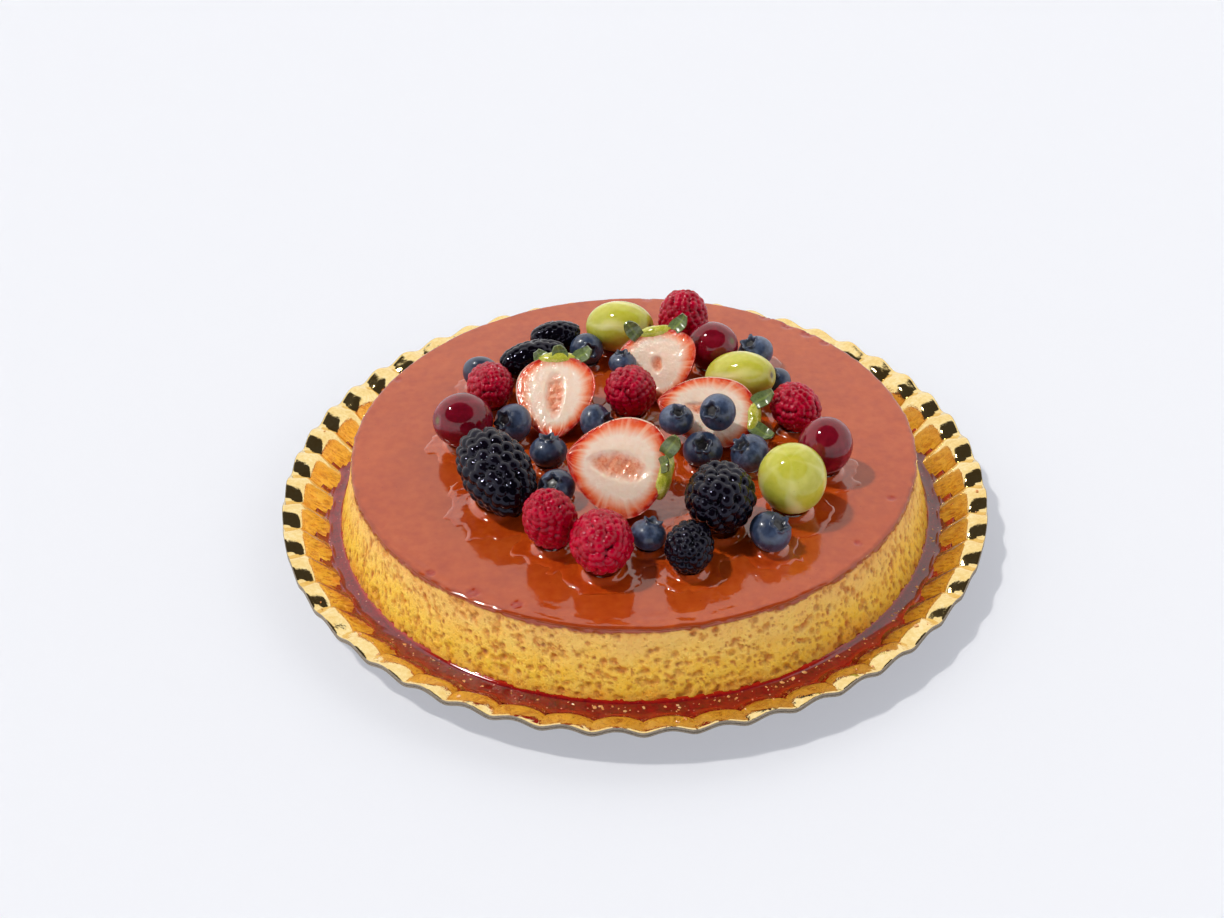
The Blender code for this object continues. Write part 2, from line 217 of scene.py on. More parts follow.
def smooth(obj: bpy.types.Object, angle: float = 60.0) -> None:
    """Smooth shading but for edges sharper than this angle in degrees."""
    pick(obj)
    bpy.ops.object.shade_smooth_by_angle(angle=math.radians(angle))


def join(name: str, pieces: Sequence[bpy.types.Object]) -> bpy.types.Object:
    """One object of all these pieces, which keep their material slots.

    Args:
        name: What it is called.
        pieces: The objects to join, the first of which is kept.

    Returns:
        The object.
    """
    clear_selection()
    for piece in pieces:
        piece.select_set(True)
    bpy.context.view_layer.objects.active = pieces[0]
    bpy.ops.object.join()
    return fresh(name)


def apply_modifier(obj: bpy.types.Object, kind: str, **settings: object) -> None:
    """Adds a modifier with these settings and applies it.

    Args:
        obj: The object.
        kind: The modifier's type.
        settings: The modifier's own properties.
    """
    pick(obj)
    bpy.ops.object.modifier_add(type=kind)
    modifier = obj.modifiers[-1]
    for key, value in settings.items():
        setattr(modifier, key, value)
    bpy.ops.object.modifier_apply(modifier=modifier.name)


def place(obj: bpy.types.Object, matrix: Matrix) -> None:
    """Puts this move into the mesh, so that the object itself stays at the origin."""
    obj.data.transform(matrix)
    obj.data.update()


def add_tube_ball(name: str, columns: int, rows: int) -> bpy.types.Object:
    """A unit ball by Blender's own primitive, its poles on Z.

    Args:
        name: What it is called.
        columns: How many faces go round it.
        rows: How many go from pole to pole.

    Returns:
        The object.
    """
    clear_selection()
    bpy.ops.mesh.primitive_uv_sphere_add(segments=columns, ring_count=rows, radius=1.0, location=(0, 0, 0))
    return fresh(name)


def dress(obj: bpy.types.Object, *finishes: bpy.types.Material) -> None:
    """Puts these materials in the object's slots, in order."""
    for finish in finishes:
        obj.data.materials.append(finish)


def settle(obj: bpy.types.Object, slot: str, *nodes: str) -> None:
    """Rides the finished piece on the body, and hides the nodes that it stands for.

    Args:
        obj: The finished piece.
        slot: The name of a record's slot; it is not used.
        nodes: The nodes that it stands for.
    """
    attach(obj, "root")
    if nodes:
        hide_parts(*nodes)


def soft_noise(points: Array, seed: int, octaves: int = 3) -> Array:
    """A smooth wandering number from about -1 to 1 at each point.

    Args:
        points: Rows of coordinates, scaled so that one unit is about one wave.
        seed: Which noise.
        octaves: How many finer waves are added.

    Returns:
        One number for each row.
    """
    rng = np.random.default_rng(seed)
    total = np.zeros(len(points))
    for octave in range(octaves):
        for _ in range(5):
            way = rng.normal(size=points.shape[1])
            way *= (1.7**octave) * 4.2 / np.linalg.norm(way)
            total += np.sin(points @ way + rng.uniform(0, 2 * math.pi)) * 0.62**octave
    return total / 4.2


# Node work


@dataclass
class Nodes:
    """A node tree and short ways to add to it."""

    tree: bpy.types.NodeTree

    def add(
        self, kind: str, links: dict | None = None, values: dict | None = None, **settings: object
    ) -> bpy.types.Node:
        """Adds a node.

        Args:
            kind: The node's type, without its ShaderNode prefix.
            links: Input name or number to the socket that feeds it.
            values: Input name or number to a plain value.
            settings: The node's own properties.

        Returns:
            The new node.
        """
        node = self.tree.nodes.new("ShaderNode" + kind)
        for key, value in settings.items():
            setattr(node, key, value)
        for key, value in (values or {}).items():
            node.inputs[key].default_value = value
        for key, socket in (links or {}).items():
            self.tree.links.new(socket, node.inputs[key])
        return node

    def mask(self, name: str) -> bpy.types.NodeSocket:
        """The number that the mesh keeps under this name."""
        return self.add("Attribute", attribute_name=name).outputs["Fac"]

    def place(self) -> bpy.types.NodeSocket:
        """Where the point is on the piece."""
        return self.add("TexCoord").outputs["Object"]

    def fill(self, socket: bpy.types.NodeSocket, value: object) -> None:
        """Feeds an input from a socket, or gives it a plain number, a colour or a colour's code.

        Args:
            socket: The input.
            value: What feeds it.
        """
        if isinstance(value, bpy.types.NodeSocket):
            self.tree.links.new(value, socket)
        else:
            socket.default_value = tone(value) if isinstance(value, str) else value

    def noise(self, scale: float, detail: float = 3.0, stretch: tuple = (1, 1, 1)) -> bpy.types.NodeSocket:
        """Soft noise over the piece, its waves about 1/scale metres long.

        Args:
            scale: How many waves there are to a metre.
            detail: How many finer waves are added.
            stretch: How much each axis is squeezed.

        Returns:
            The socket that carries it.
        """
        where = self.place()
        if stretch != (1, 1, 1):
            where = self.add("Mapping", {"Vector": where}, {"Scale": stretch}).outputs[0]
        settings = {"Scale": scale, "Detail": detail, "Roughness": 0.55}
        return self.add("TexNoise", {"Vector": where}, settings).outputs["Fac"]

    def between(self, value: bpy.types.NodeSocket, low: float, high: float) -> bpy.types.NodeSocket:
        """0 below low, 1 above high, and a straight rise between; falls where low is the larger."""
        limits = {"From Min": low, "From Max": high}
        return self.add("MapRange", {"Value": value}, limits, clamp=True).outputs["Result"]

    def from_to(self, value: bpy.types.NodeSocket, low: float, high: float) -> bpy.types.NodeSocket:
        """Low where the value is 0, and high where it is 1."""
        return self.add("MapRange", {"Value": value}, {"To Min": low, "To Max": high}).outputs["Result"]

    def ramp(self, value: bpy.types.NodeSocket, stops: Sequence[tuple[float, str]]) -> bpy.types.NodeSocket:
        """A colour from a ramp of (place, colour code) stops.

        Args:
            value: Where on the ramp.
            stops: Places from 0 to 1 with their colours.

        Returns:
            The socket that carries it.
        """
        node = self.add("ValToRGB", {"Fac": value})
        elements = node.color_ramp.elements
        while len(elements) < len(stops):
            elements.new(0.5)
        for element, (where, code) in zip(elements, stops):
            element.position, element.color = where, tone(code)
        return node.outputs["Color"]

    def shades(self, value: bpy.types.NodeSocket, *codes: str) -> bpy.types.NodeSocket:
        """A colour that runs evenly through these codes."""
        return self.ramp(value, [(step / (len(codes) - 1), code) for step, code in enumerate(codes)])

    def mix(self, share: object, first: object, second: object) -> bpy.types.NodeSocket:
        """A mix of two colours, each a socket, a colour or its code, by a socket or a number.

        Args:
            share: How much of the second there is.
            first: The first one.
            second: The second one.

        Returns:
            The socket that carries it.
        """
        node = self.add("Mix", data_type="RGBA")
        for number, value in ((0, share), (6, first), (7, second)):
            self.fill(node.inputs[number], value)
        return node.outputs[2]

    def blend(self, share: object, first: object, second: object) -> bpy.types.NodeSocket:
        """A mix of two numbers, each a socket or a plain number.

        Args:
            share: How much of the second there is.
            first: The first one.
            second: The second one.

        Returns:
            The socket that carries it.
        """
        node = self.add("Mix", data_type="FLOAT")
        for number, value in ((0, share), (2, first), (3, second)):
            self.fill(node.inputs[number], value)
        return node.outputs[0]

    def math(self, operation: str, first: object, second: object = 0.0) -> bpy.types.NodeSocket:
        """One sum on two numbers, each a socket or a plain number.

        Args:
            operation: The sum's name.
            first: The first one.
            second: The second one.

        Returns:
            The socket that carries it.
        """
        node = self.add("Math", operation=operation)
        for socket, value in zip(node.inputs, (first, second)):
            self.fill(socket, value)
        return node.outputs[0]

    def scaled(self, value: object, by: object) -> bpy.types.NodeSocket:
        """The one number times the other."""
        return self.math("MULTIPLY", value, by)

    def added(self, first: object, second: object) -> bpy.types.NodeSocket:
        """The two numbers together."""
        return self.math("ADD", first, second)

    def bump(self, height: bpy.types.NodeSocket, depth: float, strength: float) -> bpy.types.NodeSocket:
        """A normal from a height, whose whole range is depth metres."""
        settings = {"Distance": depth, "Strength": strength}
        return self.add("Bump", {"Height": height}, settings).outputs["Normal"]


def new_group(name: str, inputs: dict[str, float], outputs: Sequence[str]) -> tuple:
    """Starts a shader node group of plain numbers.

    Args:
        name: The group's name.
        inputs: Each input's name and its plain value.
        outputs: Each output's name.

    Returns:
        The group tree, its Nodes, its input node and its output node.
    """
    tree = bpy.data.node_groups.new(name, "ShaderNodeTree")
    for label, value in inputs.items():
        socket = tree.interface.new_socket(label, in_out="INPUT", socket_type="NodeSocketFloat")
        socket.default_value = value
    for label in outputs:
        tree.interface.new_socket(label, in_out="OUTPUT", socket_type="NodeSocketFloat")
    return tree, Nodes(tree), tree.nodes.new("NodeGroupInput"), tree.nodes.new("NodeGroupOutput")


def specks_group() -> bpy.types.NodeTree:
    """Scattered round specks: a mask of dots, and a second one of softer halos.

    Returns:
        The group.
    """
    found = bpy.data.node_groups.get("scattered specks")
    if found:
        return found
    tree, nodes, given, out = new_group(
        "scattered specks", {"Scale": 600.0, "Size": 0.25, "Amount": 0.5}, ("Specks", "Halo")
    )
    cells = nodes.add("TexVoronoi", {"Vector": nodes.place(), "Scale": given.outputs["Scale"]})
    shown = nodes.add("SeparateColor", {"Color": cells.outputs["Color"]}).outputs[0]
    chosen = nodes.math("LESS_THAN", shown, given.outputs["Amount"])
    for label, reach in (("Specks", 1.0), ("Halo", 2.0)):
        edge = nodes.scaled(given.outputs["Size"], reach)
        inside = nodes.math("SUBTRACT", 1.0, nodes.math("DIVIDE", cells.outputs["Distance"], edge))
        tree.links.new(nodes.scaled(nodes.between(inside, 0.0, 0.5), chosen), out.inputs[label])
    return tree


def mottle_group() -> bpy.types.NodeTree:
    """Slow patches over fine ones, from 0 to 1.

    Returns:
        The group.
    """
    found = bpy.data.node_groups.get("slow and fine mottle")
    if found:
        return found
    tree, nodes, given, out = new_group(
        "slow and fine mottle", {"Scale": 100.0, "Fine Share": 0.4}, ("Mottle",)
    )
    where = nodes.place()
    slow = nodes.add("TexNoise", {"Vector": where, "Scale": given.outputs["Scale"]}, {"Detail": 2.0})
    quick = nodes.scaled(given.outputs["Scale"], 5.0)
    fine = nodes.add("TexNoise", {"Vector": where, "Scale": quick}, {"Detail": 3.0})
    both = nodes.blend(given.outputs["Fine Share"], slow.outputs["Fac"], fine.outputs["Fac"])
    tree.links.new(nodes.between(both, 0.3, 0.7), out.inputs["Mottle"])
    return tree


def wet(roughness: float, ior: float, coat: float, coat_roughness: float) -> dict[str, float]:
    """Shader values of something under a thin clear coat."""
    return {"Roughness": roughness, "IOR": ior, "Coat Weight": coat, "Coat Roughness": coat_roughness}


@dataclass
class Finish:
    """A material in the making: its nodes and its shader."""

    name: str
    shader_values: dict = field(default_factory=dict)

    def __post_init__(self) -> None:
        """Starts the material and sets the shader's plain values."""
        self.material = bpy.data.materials.new(self.name)
        self.material.use_nodes = True
        self.nodes = Nodes(self.material.node_tree)
        self.shader = self.material.node_tree.nodes["Principled BSDF"]
        for key, value in self.shader_values.items():
            self.shader.inputs[key].default_value = value

    def feed(self, **sockets: bpy.types.NodeSocket) -> bpy.types.Material:
        """Links sockets to the shader's inputs.

        Args:
            sockets: Each input's name in small letters, with _ for a space, and what feeds it.

        Returns:
            The material.
        """
        for name, socket in sockets.items():
            self.nodes.tree.links.new(socket, self.shader.inputs[name.replace("_", " ").title()])
        return self.material

    def group(self, tree: bpy.types.NodeTree, **values: float) -> bpy.types.Node:
        """A shared group with these values."""
        plain = {name.replace("_", " ").title(): value for name, value in values.items()}
        return self.nodes.add("Group", None, plain, node_tree=tree)

    def specks(self, scale: float, size: float, amount: float) -> bpy.types.NodeSocket:
        """Sharp specks, about 1/scale metres apart."""
        return self.group(specks_group(), scale=scale, size=size, amount=amount).outputs["Specks"]

    def halos(self, scale: float, size: float, amount: float) -> bpy.types.NodeSocket:
        """Soft specks of twice the size."""
        return self.group(specks_group(), scale=scale, size=size, amount=amount).outputs["Halo"]

    def mottle(self, scale: float, fine: float = 0.4) -> bpy.types.NodeSocket:
        """Slow patches, about 1/scale metres across, with this share of fine ones."""
        return self.group(mottle_group(), scale=scale, fine_share=fine).outputs["Mottle"]


# The studio


@dataclass(frozen=True)
class Studio:
    """The camera at the photograph's angle, a pale floor, and soft light from the upper left."""

    focal: float = 44.118
    distance: float = 570.1
    elevation: float = 36.165
    roll: float = -1.331
    look_at: tuple[float, float, float] = (-7.66, 20.1, 7.1)
    sun_power: float = 1.35
    sun_spread: float = 2.5
    sun_from: tuple[float, float, float] = (-0.50, 0.05, 0.88)
    dark_way: tuple[float, float, float] = (-0.05, -0.35, 0.94)
    dark_reach: tuple[float, float] = (0.66, 0.71)
    floor_glow: float = 0.365
    lamp_reach: tuple[float, float] = (0.9962, 0.9976)
    lamp_glow: float = 28.0
    front_wall: Colour = (1.22, 1.22, 1.24, 1)
    back_wall: Colour = (1.14, 1.12, 1.08, 1)
    dark: Colour = (0.05, 0.045, 0.04, 1)

    def build(self) -> None:
        """Makes everything that isn't the dessert."""
        self.add_camera()
        self.add_floor()
        self.add_sun()
        self.add_surroundings()
        bpy.context.scene.view_settings.view_transform = "Standard"

    def add_camera(self) -> None:
        """A camera on the line of sight that the photograph was taken along."""
        rise, turn = math.radians(self.elevation), math.radians(self.roll)
        ahead = Vector((0, math.cos(rise), -math.sin(rise)))
        across, upward = Vector((1, 0, 0)), Vector((0, math.sin(rise), math.cos(rise)))
        right = across * math.cos(turn) + upward * math.sin(turn)
        over = upward * math.cos(turn) - across * math.sin(turn)
        at = (Vector(self.look_at) - ahead * self.distance) * MM
        bpy.ops.object.camera_add(location=at)
        camera = bpy.context.object
        camera.name = "camera"
        camera.data.lens = self.focal
        camera.data.sensor_width = 36.0
        camera.data.clip_start = 0.01
        camera.matrix_world = Matrix.Translation(at) @ Matrix((right, over, -ahead)).transposed().to_4x4()
        bpy.context.scene.camera = camera

    def add_floor(self) -> None:
        """A wide matt floor, just under the board."""
        clear_selection()
        bpy.ops.mesh.primitive_plane_add(size=6.0, location=(0, 0, 0))
        floor = fresh("floor")
        finish = Finish("pale floor", {
            "Base Color": (0.53, 0.535, 0.555, 1), "Roughness": 0.9, "Specular IOR Level": 0.1,
            "Emission Color": (0.84, 0.88, 1.0, 1), "Emission Strength": self.floor_glow,
        })
        dress(floor, finish.material)

    def add_sun(self) -> None:
        """The main light."""
        bpy.ops.object.light_add(type="SUN", location=(-0.5, 0, 1))
        sun = bpy.context.object
        sun.name = "main light"
        sun.data.energy = self.sun_power
        sun.data.angle = math.radians(self.sun_spread)
        sun.data.color = (1.0, 0.97, 0.92)
        sun.rotation_euler = Vector(self.sun_from).to_track_quat("Z", "Y").to_euler()

    def add_surroundings(self) -> None:
        """What glossy things mirror: white walls, a dark opening over the camera, and the lamp's disc."""
        world = bpy.data.worlds.new("white studio")
        bpy.context.scene.world = world
        world.use_nodes = True
        nodes = Nodes(world.node_tree)
        background = world.node_tree.nodes["Background"]
        way = nodes.add("TexCoord").outputs["Generated"]

        def spot(middle: tuple[float, float, float], reach: tuple[float, float]) -> bpy.types.NodeSocket:
            """A round spot of the sky: 1 inside and 0 outside.

            Args:
                middle: The way to the spot's middle.
                reach: The cosines at its outer and inner edge.

            Returns:
                The socket that carries it.
            """
            aim = {1: Vector(middle).normalized()}
            toward = nodes.add("VectorMath", {0: way}, aim, operation="DOT_PRODUCT")
            return nodes.between(toward.outputs["Value"], *reach)

        back = nodes.between(nodes.add("SeparateXYZ", {0: way}).outputs["Y"], -0.6, 0.6)
        walls = nodes.mix(back, self.front_wall, self.back_wall)
        lit = nodes.mix(spot(self.dark_way, self.dark_reach), walls, self.dark)
        glow = (self.lamp_glow, self.lamp_glow, self.lamp_glow * 0.97, 1)
        lit = nodes.mix(spot(self.sun_from, self.lamp_reach), lit, glow)
        world.node_tree.links.new(lit, background.inputs["Color"])
        background.inputs["Strength"].default_value = 1.0


# The board


@dataclass(frozen=True)
class GoldFoil:
    """Mirror-bright gold foil with fine crinkles and a little wear."""

    golds: tuple[tuple[float, str], ...] = ((0.0, "E6C176"), (0.6, "EFD596"), (1.0, "F4E0AE"))
    roughness: tuple[float, float] = (0.02, 0.12)
    crumple: float = 0.0003

    def make(self) -> bpy.types.Material:
        """Colours the foil in slow patches and crumples it.

        Returns:
            The material.
        """
        made = Finish("gold foil", {"Metallic": 1.0})
        nodes = made.nodes
        colour = nodes.ramp(made.mottle(160, 0.5), self.golds)
        fine = nodes.noise(1000)
        crumple = nodes.added(nodes.noise(240), nodes.scaled(fine, 0.28))
        rough = nodes.from_to(fine, *self.roughness)
        return made.feed(base_color=colour, roughness=rough, normal=nodes.bump(crumple, self.crumple, 0.35))


@dataclass(frozen=True)
class GreyCard:
    """The grey-brown card in the board's cut edge and under it."""

    dark: str = "6E6254"
    pale: str = "A39684"

    def make(self) -> bpy.types.Material:
        """Runs fibres through the card.

        Returns:
            The material.
        """
        made = Finish("grey card", {"Metallic": 0.0})
        nodes = made.nodes
        fibres = nodes.noise(1400, 4, stretch=(1, 1, 2.5))
        colour = nodes.ramp(fibres, ((0.3, self.dark), (0.7, self.pale)))
        rough = nodes.between(fibres, -0.6, 1.3)
        return made.feed(base_color=colour, roughness=rough, normal=nodes.bump(fibres, 0.0001, 1.0))


@dataclass
class FoilBoard:
    """The gold board: card under crinkled foil, its steep border pressed into round-backed lobes."""

    thickness: float = 2.0
    lobes: int = 50
    first_groove: float = 0.5
    columns_per_lobe: int = 14
    dents: float = 0.07
    front_reach: float = 0.75
    front_tip: float = 0.85
    unevenness: float = 0.25
    foil_edge: float = 126.85
    radii: tuple[float, ...] = (109, 110, 111.4, 112.4, 114, 118.6, 120, 121, 122.4, 127)
    grooves: tuple[float, ...] = (0.0, 0.0, 0.1, 0.6, 2.2, 7.1, 8.5, 9.3, 9.7, 10.8)
    crests: tuple[float, ...] = (0.0, 1.2, 2.6, 3.6, 5.2, 9.9, 11.25, 11.95, 12.35, 13.2)
    top_rings: tuple[float, ...] = (
        90, 106, 108.3, 109, 109.5, 110, 110.7, 111.4, 112, 112.7, 113.5, 114.5, 115.5, 116.6, 117.7, 118.6,
        119.4, 120.1, 120.8, 121.5, 122.4, 123.6, 124.8, 126, 126.8,
    )
    edge_steps: tuple[tuple[float, float], ...] = (
        (127, -0.15), (127, -0.85), (126.75, -0.95), (126.75, -1.1), (127, -1.2), (127, -1.85), (126.8, -2),
    )
    under_rings: tuple[float, ...] = (124, 121.5, 120, 118, 115, 112.7, 111, 109.5, 108.3, 90)

    def lobe(self, angle: Array) -> Array:
        """Which lobe an angle lies in, counted round, and as a fraction how far across it."""
        return (angle / (2 * math.pi) * self.lobes - self.first_groove) % self.lobes

    def surface(self, radius: Array, angle: Array) -> Array:
        """Height of the upper face over the flat base.

        Args:
            radius: In mm, out from the board's middle.
            angle: In radians, from the right.

        Returns:
            Heights in mm.
        """
        share = self.lobe(angle) % 1.0
        sharp = np.clip(1 - (2 * share - 1) ** 2, 0, 1) ** 0.8
        wavy = (0.5 - 0.5 * np.cos(2 * math.pi * share)) ** 0.85
        arch = sharp + (wavy - sharp) * part_way(radius, 121, 126.5)
        groove = np.interp(radius, self.radii, self.grooves)
        crest = np.interp(radius, self.radii, self.crests)
        # In front the brim tips up a little more, so that it mirrors the custard's side.
        knee = near(radius, 121.5, 3.2) * part_way(radius, 127, 122)
        return groove + (crest - groove - self.front_tip * self.frontness(angle) * knee) * arch

    def frontness(self, angle: Array) -> Array:
        """1 in the middle of the front, 0 from the sides round to the back."""
        return near(angle, -math.pi / 2, self.front_reach, power=4)

    def crinkle(self, points: Array) -> Array:
        """Small dents in the foil, in mm."""
        calm = 1 - 0.6 * self.frontness(np.arctan2(points[:, 1], points[:, 0]))
        return self.dents * calm * soft_noise(points / 4.5, seed=11, octaves=4)

    def shape(self, points: Array) -> Array:
        """Presses the lobes into the flat board.

        Args:
            points: The flat board's rows of x, y, z in metres.

        Returns:
            The new rows of x, y, z in metres.
        """
        flat = points / MM
        radius = np.hypot(flat[:, 0], flat[:, 1])
        angle = np.arctan2(flat[:, 1], flat[:, 0])
        pressed = flat.copy()
        upper = np.clip(flat[:, 2] / self.thickness, 0, 1)
        pressed[:, 2] += self.surface(radius, angle)
        lobe = self.lobe(angle)
        sunk = np.random.default_rng(5).uniform(-self.unevenness, 0.0, self.lobes)
        uneven = sunk[lobe.astype(int) % self.lobes]
        lift = uneven * np.sin(math.pi * lobe) ** 2 * part_way(radius, 109, 115)
        pressed[:, 2] += np.where(radius > 107, lift + upper * self.crinkle(flat), 0)
        pressed[:, 2] = np.clip(pressed[:, 2], 0, self.thickness + self.crests[-1])
        return pressed * MM

    def build(self) -> bpy.types.Object:
        """Spreads a ring of edges over the top, down the edge and back underneath, then presses it.

        Returns:
            The object.
        """
        clear_selection()
        bpy.ops.mesh.primitive_circle_add(
            vertices=self.lobes * self.columns_per_lobe, radius=self.top_rings[0] * MM, fill_type="NGON",
            location=(0, 0, self.thickness * MM), rotation=(0, 0, 0),
        )
        board = fresh("foil_board")
        place(board, Matrix.Translation((0, 0, self.thickness * MM)))
        board.location = (0, 0, 0)
        steps = [(r, 0.0) for r in self.top_rings[1:]] + list(self.edge_steps)
        steps += [(r, -self.thickness) for r in self.under_rings]
        reach, height = self.top_rings[0], 0.0
        with edit_mode(board):
            for new_reach, new_height in steps:
                spread_edges(reach, new_reach, (new_height - height) * MM)
                reach, height = new_reach, new_height
            close_and_turn_out()
        sculpt(board, self.shape)
        dress(board, GoldFoil().make(), GreyCard().make())
        out = np.array([math.hypot(*face.center.xy) for face in board.data.polygons]) / MM
        up = np.array([face.normal.z for face in board.data.polygons])
        edge = (out > self.foil_edge) | ((out > self.foil_edge - 0.25) & (np.abs(up) < 0.75)) | (up < -0.3)
        for face, card in zip(board.data.polygons, edge):
            face.material_index = int(card)
        smooth(board, 38)
        settle(board, "gold_foil", "board")
        return board


# The custard


@dataclass(frozen=True)
class CustardSkin:
    """Baked custard below, caramel glass on top."""

    side: tuple[tuple[float, str], ...] = (
        (0.0, "E8660A"), (0.10, "FAA80C"), (0.28, "FFCC22"), (0.48, "FFC83C"), (0.74, "F8C060"),
        (0.90, "EFAC54"), (1.0, "DC8E3C"),
    )
    pale: str = "FFE27C"
    # The pits' orange-browns are painted shade in the hollows.
    pits: tuple[tuple[float, str], ...] = ((0.3, "DC8210"), (0.5, "C4680A"), (0.7, "9A4606"))
    grain: str = "D08A18"
    caramel: tuple[str, str, str] = ("A93E10", "B44814", "BD521B")
    dot: str = "6A1C06"
    torn: str = "A62A10"
    rim: str = "8E3212"

    def make(self) -> bpy.types.Material:
        """Lays the caramel skin over the custard.

        Returns:
            The material.
        """
        made = Finish("custard and caramel skin", {
            "Subsurface Weight": 0.15, "Subsurface Scale": 0.003, "Subsurface Radius": (1.0, 0.5, 0.12),
            "IOR": 1.62, "Specular Tint": (1.0, 0.97, 0.95, 1),
        })
        nodes = made.nodes
        fine = made.halos(1300, 0.34, 0.4)
        soaked = nodes.mask("soaked")
        colour = nodes.mix(soaked, self.side_colour(made, fine), self.top_colour(made))
        grain = nodes.added(nodes.noise(1100, 4), nodes.scaled(fine, -0.8))
        rippled = nodes.added(nodes.noise(110), nodes.scaled(nodes.noise(520), 0.22))
        rough = nodes.blend(soaked, nodes.between(nodes.noise(500, 2), -0.2, 1.1), 0.03)
        relief = nodes.bump(nodes.blend(soaked, grain, rippled), 0.0003, 0.6)
        return made.feed(base_color=colour, roughness=rough, normal=relief)

    def side_colour(self, made: Finish, fine: bpy.types.NodeSocket) -> bpy.types.NodeSocket:
        """Orange at the foot, golden yellow over it and tan near the top, with orange-brown painted shade in
        the pits.

        Args:
            made: The finish.
            fine: The mask of its finest holes.

        Returns:
            The colour.
        """
        nodes = made.nodes
        height = nodes.add("SeparateXYZ", {0: nodes.place()}).outputs["Z"]
        level = nodes.added(height, nodes.scaled(nodes.noise(70), 0.014))
        body = nodes.ramp(nodes.between(level, 0.008, 0.036), self.side)
        body = nodes.mix(made.mottle(190, 0.5), body, nodes.mix(0.55, body, self.pale))
        # Painted shade: the pits, and a rim a little wider than the dug hollows, are coloured orange-brown.
        spot = nodes.between(nodes.mask("pit"), 0.05, 1.0)
        hole = nodes.ramp(nodes.noise(420, 2), self.pits)
        shown = nodes.scaled(spot, nodes.between(nodes.noise(330, 2), 0.1, 0.7))
        return nodes.mix(nodes.scaled(fine, 0.16), nodes.mix(shown, body, hole), self.grain)

    def top_colour(self, made: Finish) -> bpy.types.NodeSocket:
        """Red-brown caramel with a few dark dots, darker at the rim and redder where it is torn.

        Args:
            made: The finish.

        Returns:
            The socket that carries it.
        """
        nodes = made.nodes
        brown = nodes.shades(made.mottle(60, 0.6), *self.caramel)
        brown = nodes.mix(nodes.scaled(made.specks(420, 0.09, 0.16), 0.7), brown, self.dot)
        brown = nodes.mix(nodes.mask("torn"), brown, self.torn)
        return nodes.mix(nodes.scaled(nodes.mask("rim"), 0.7), brown, self.rim)


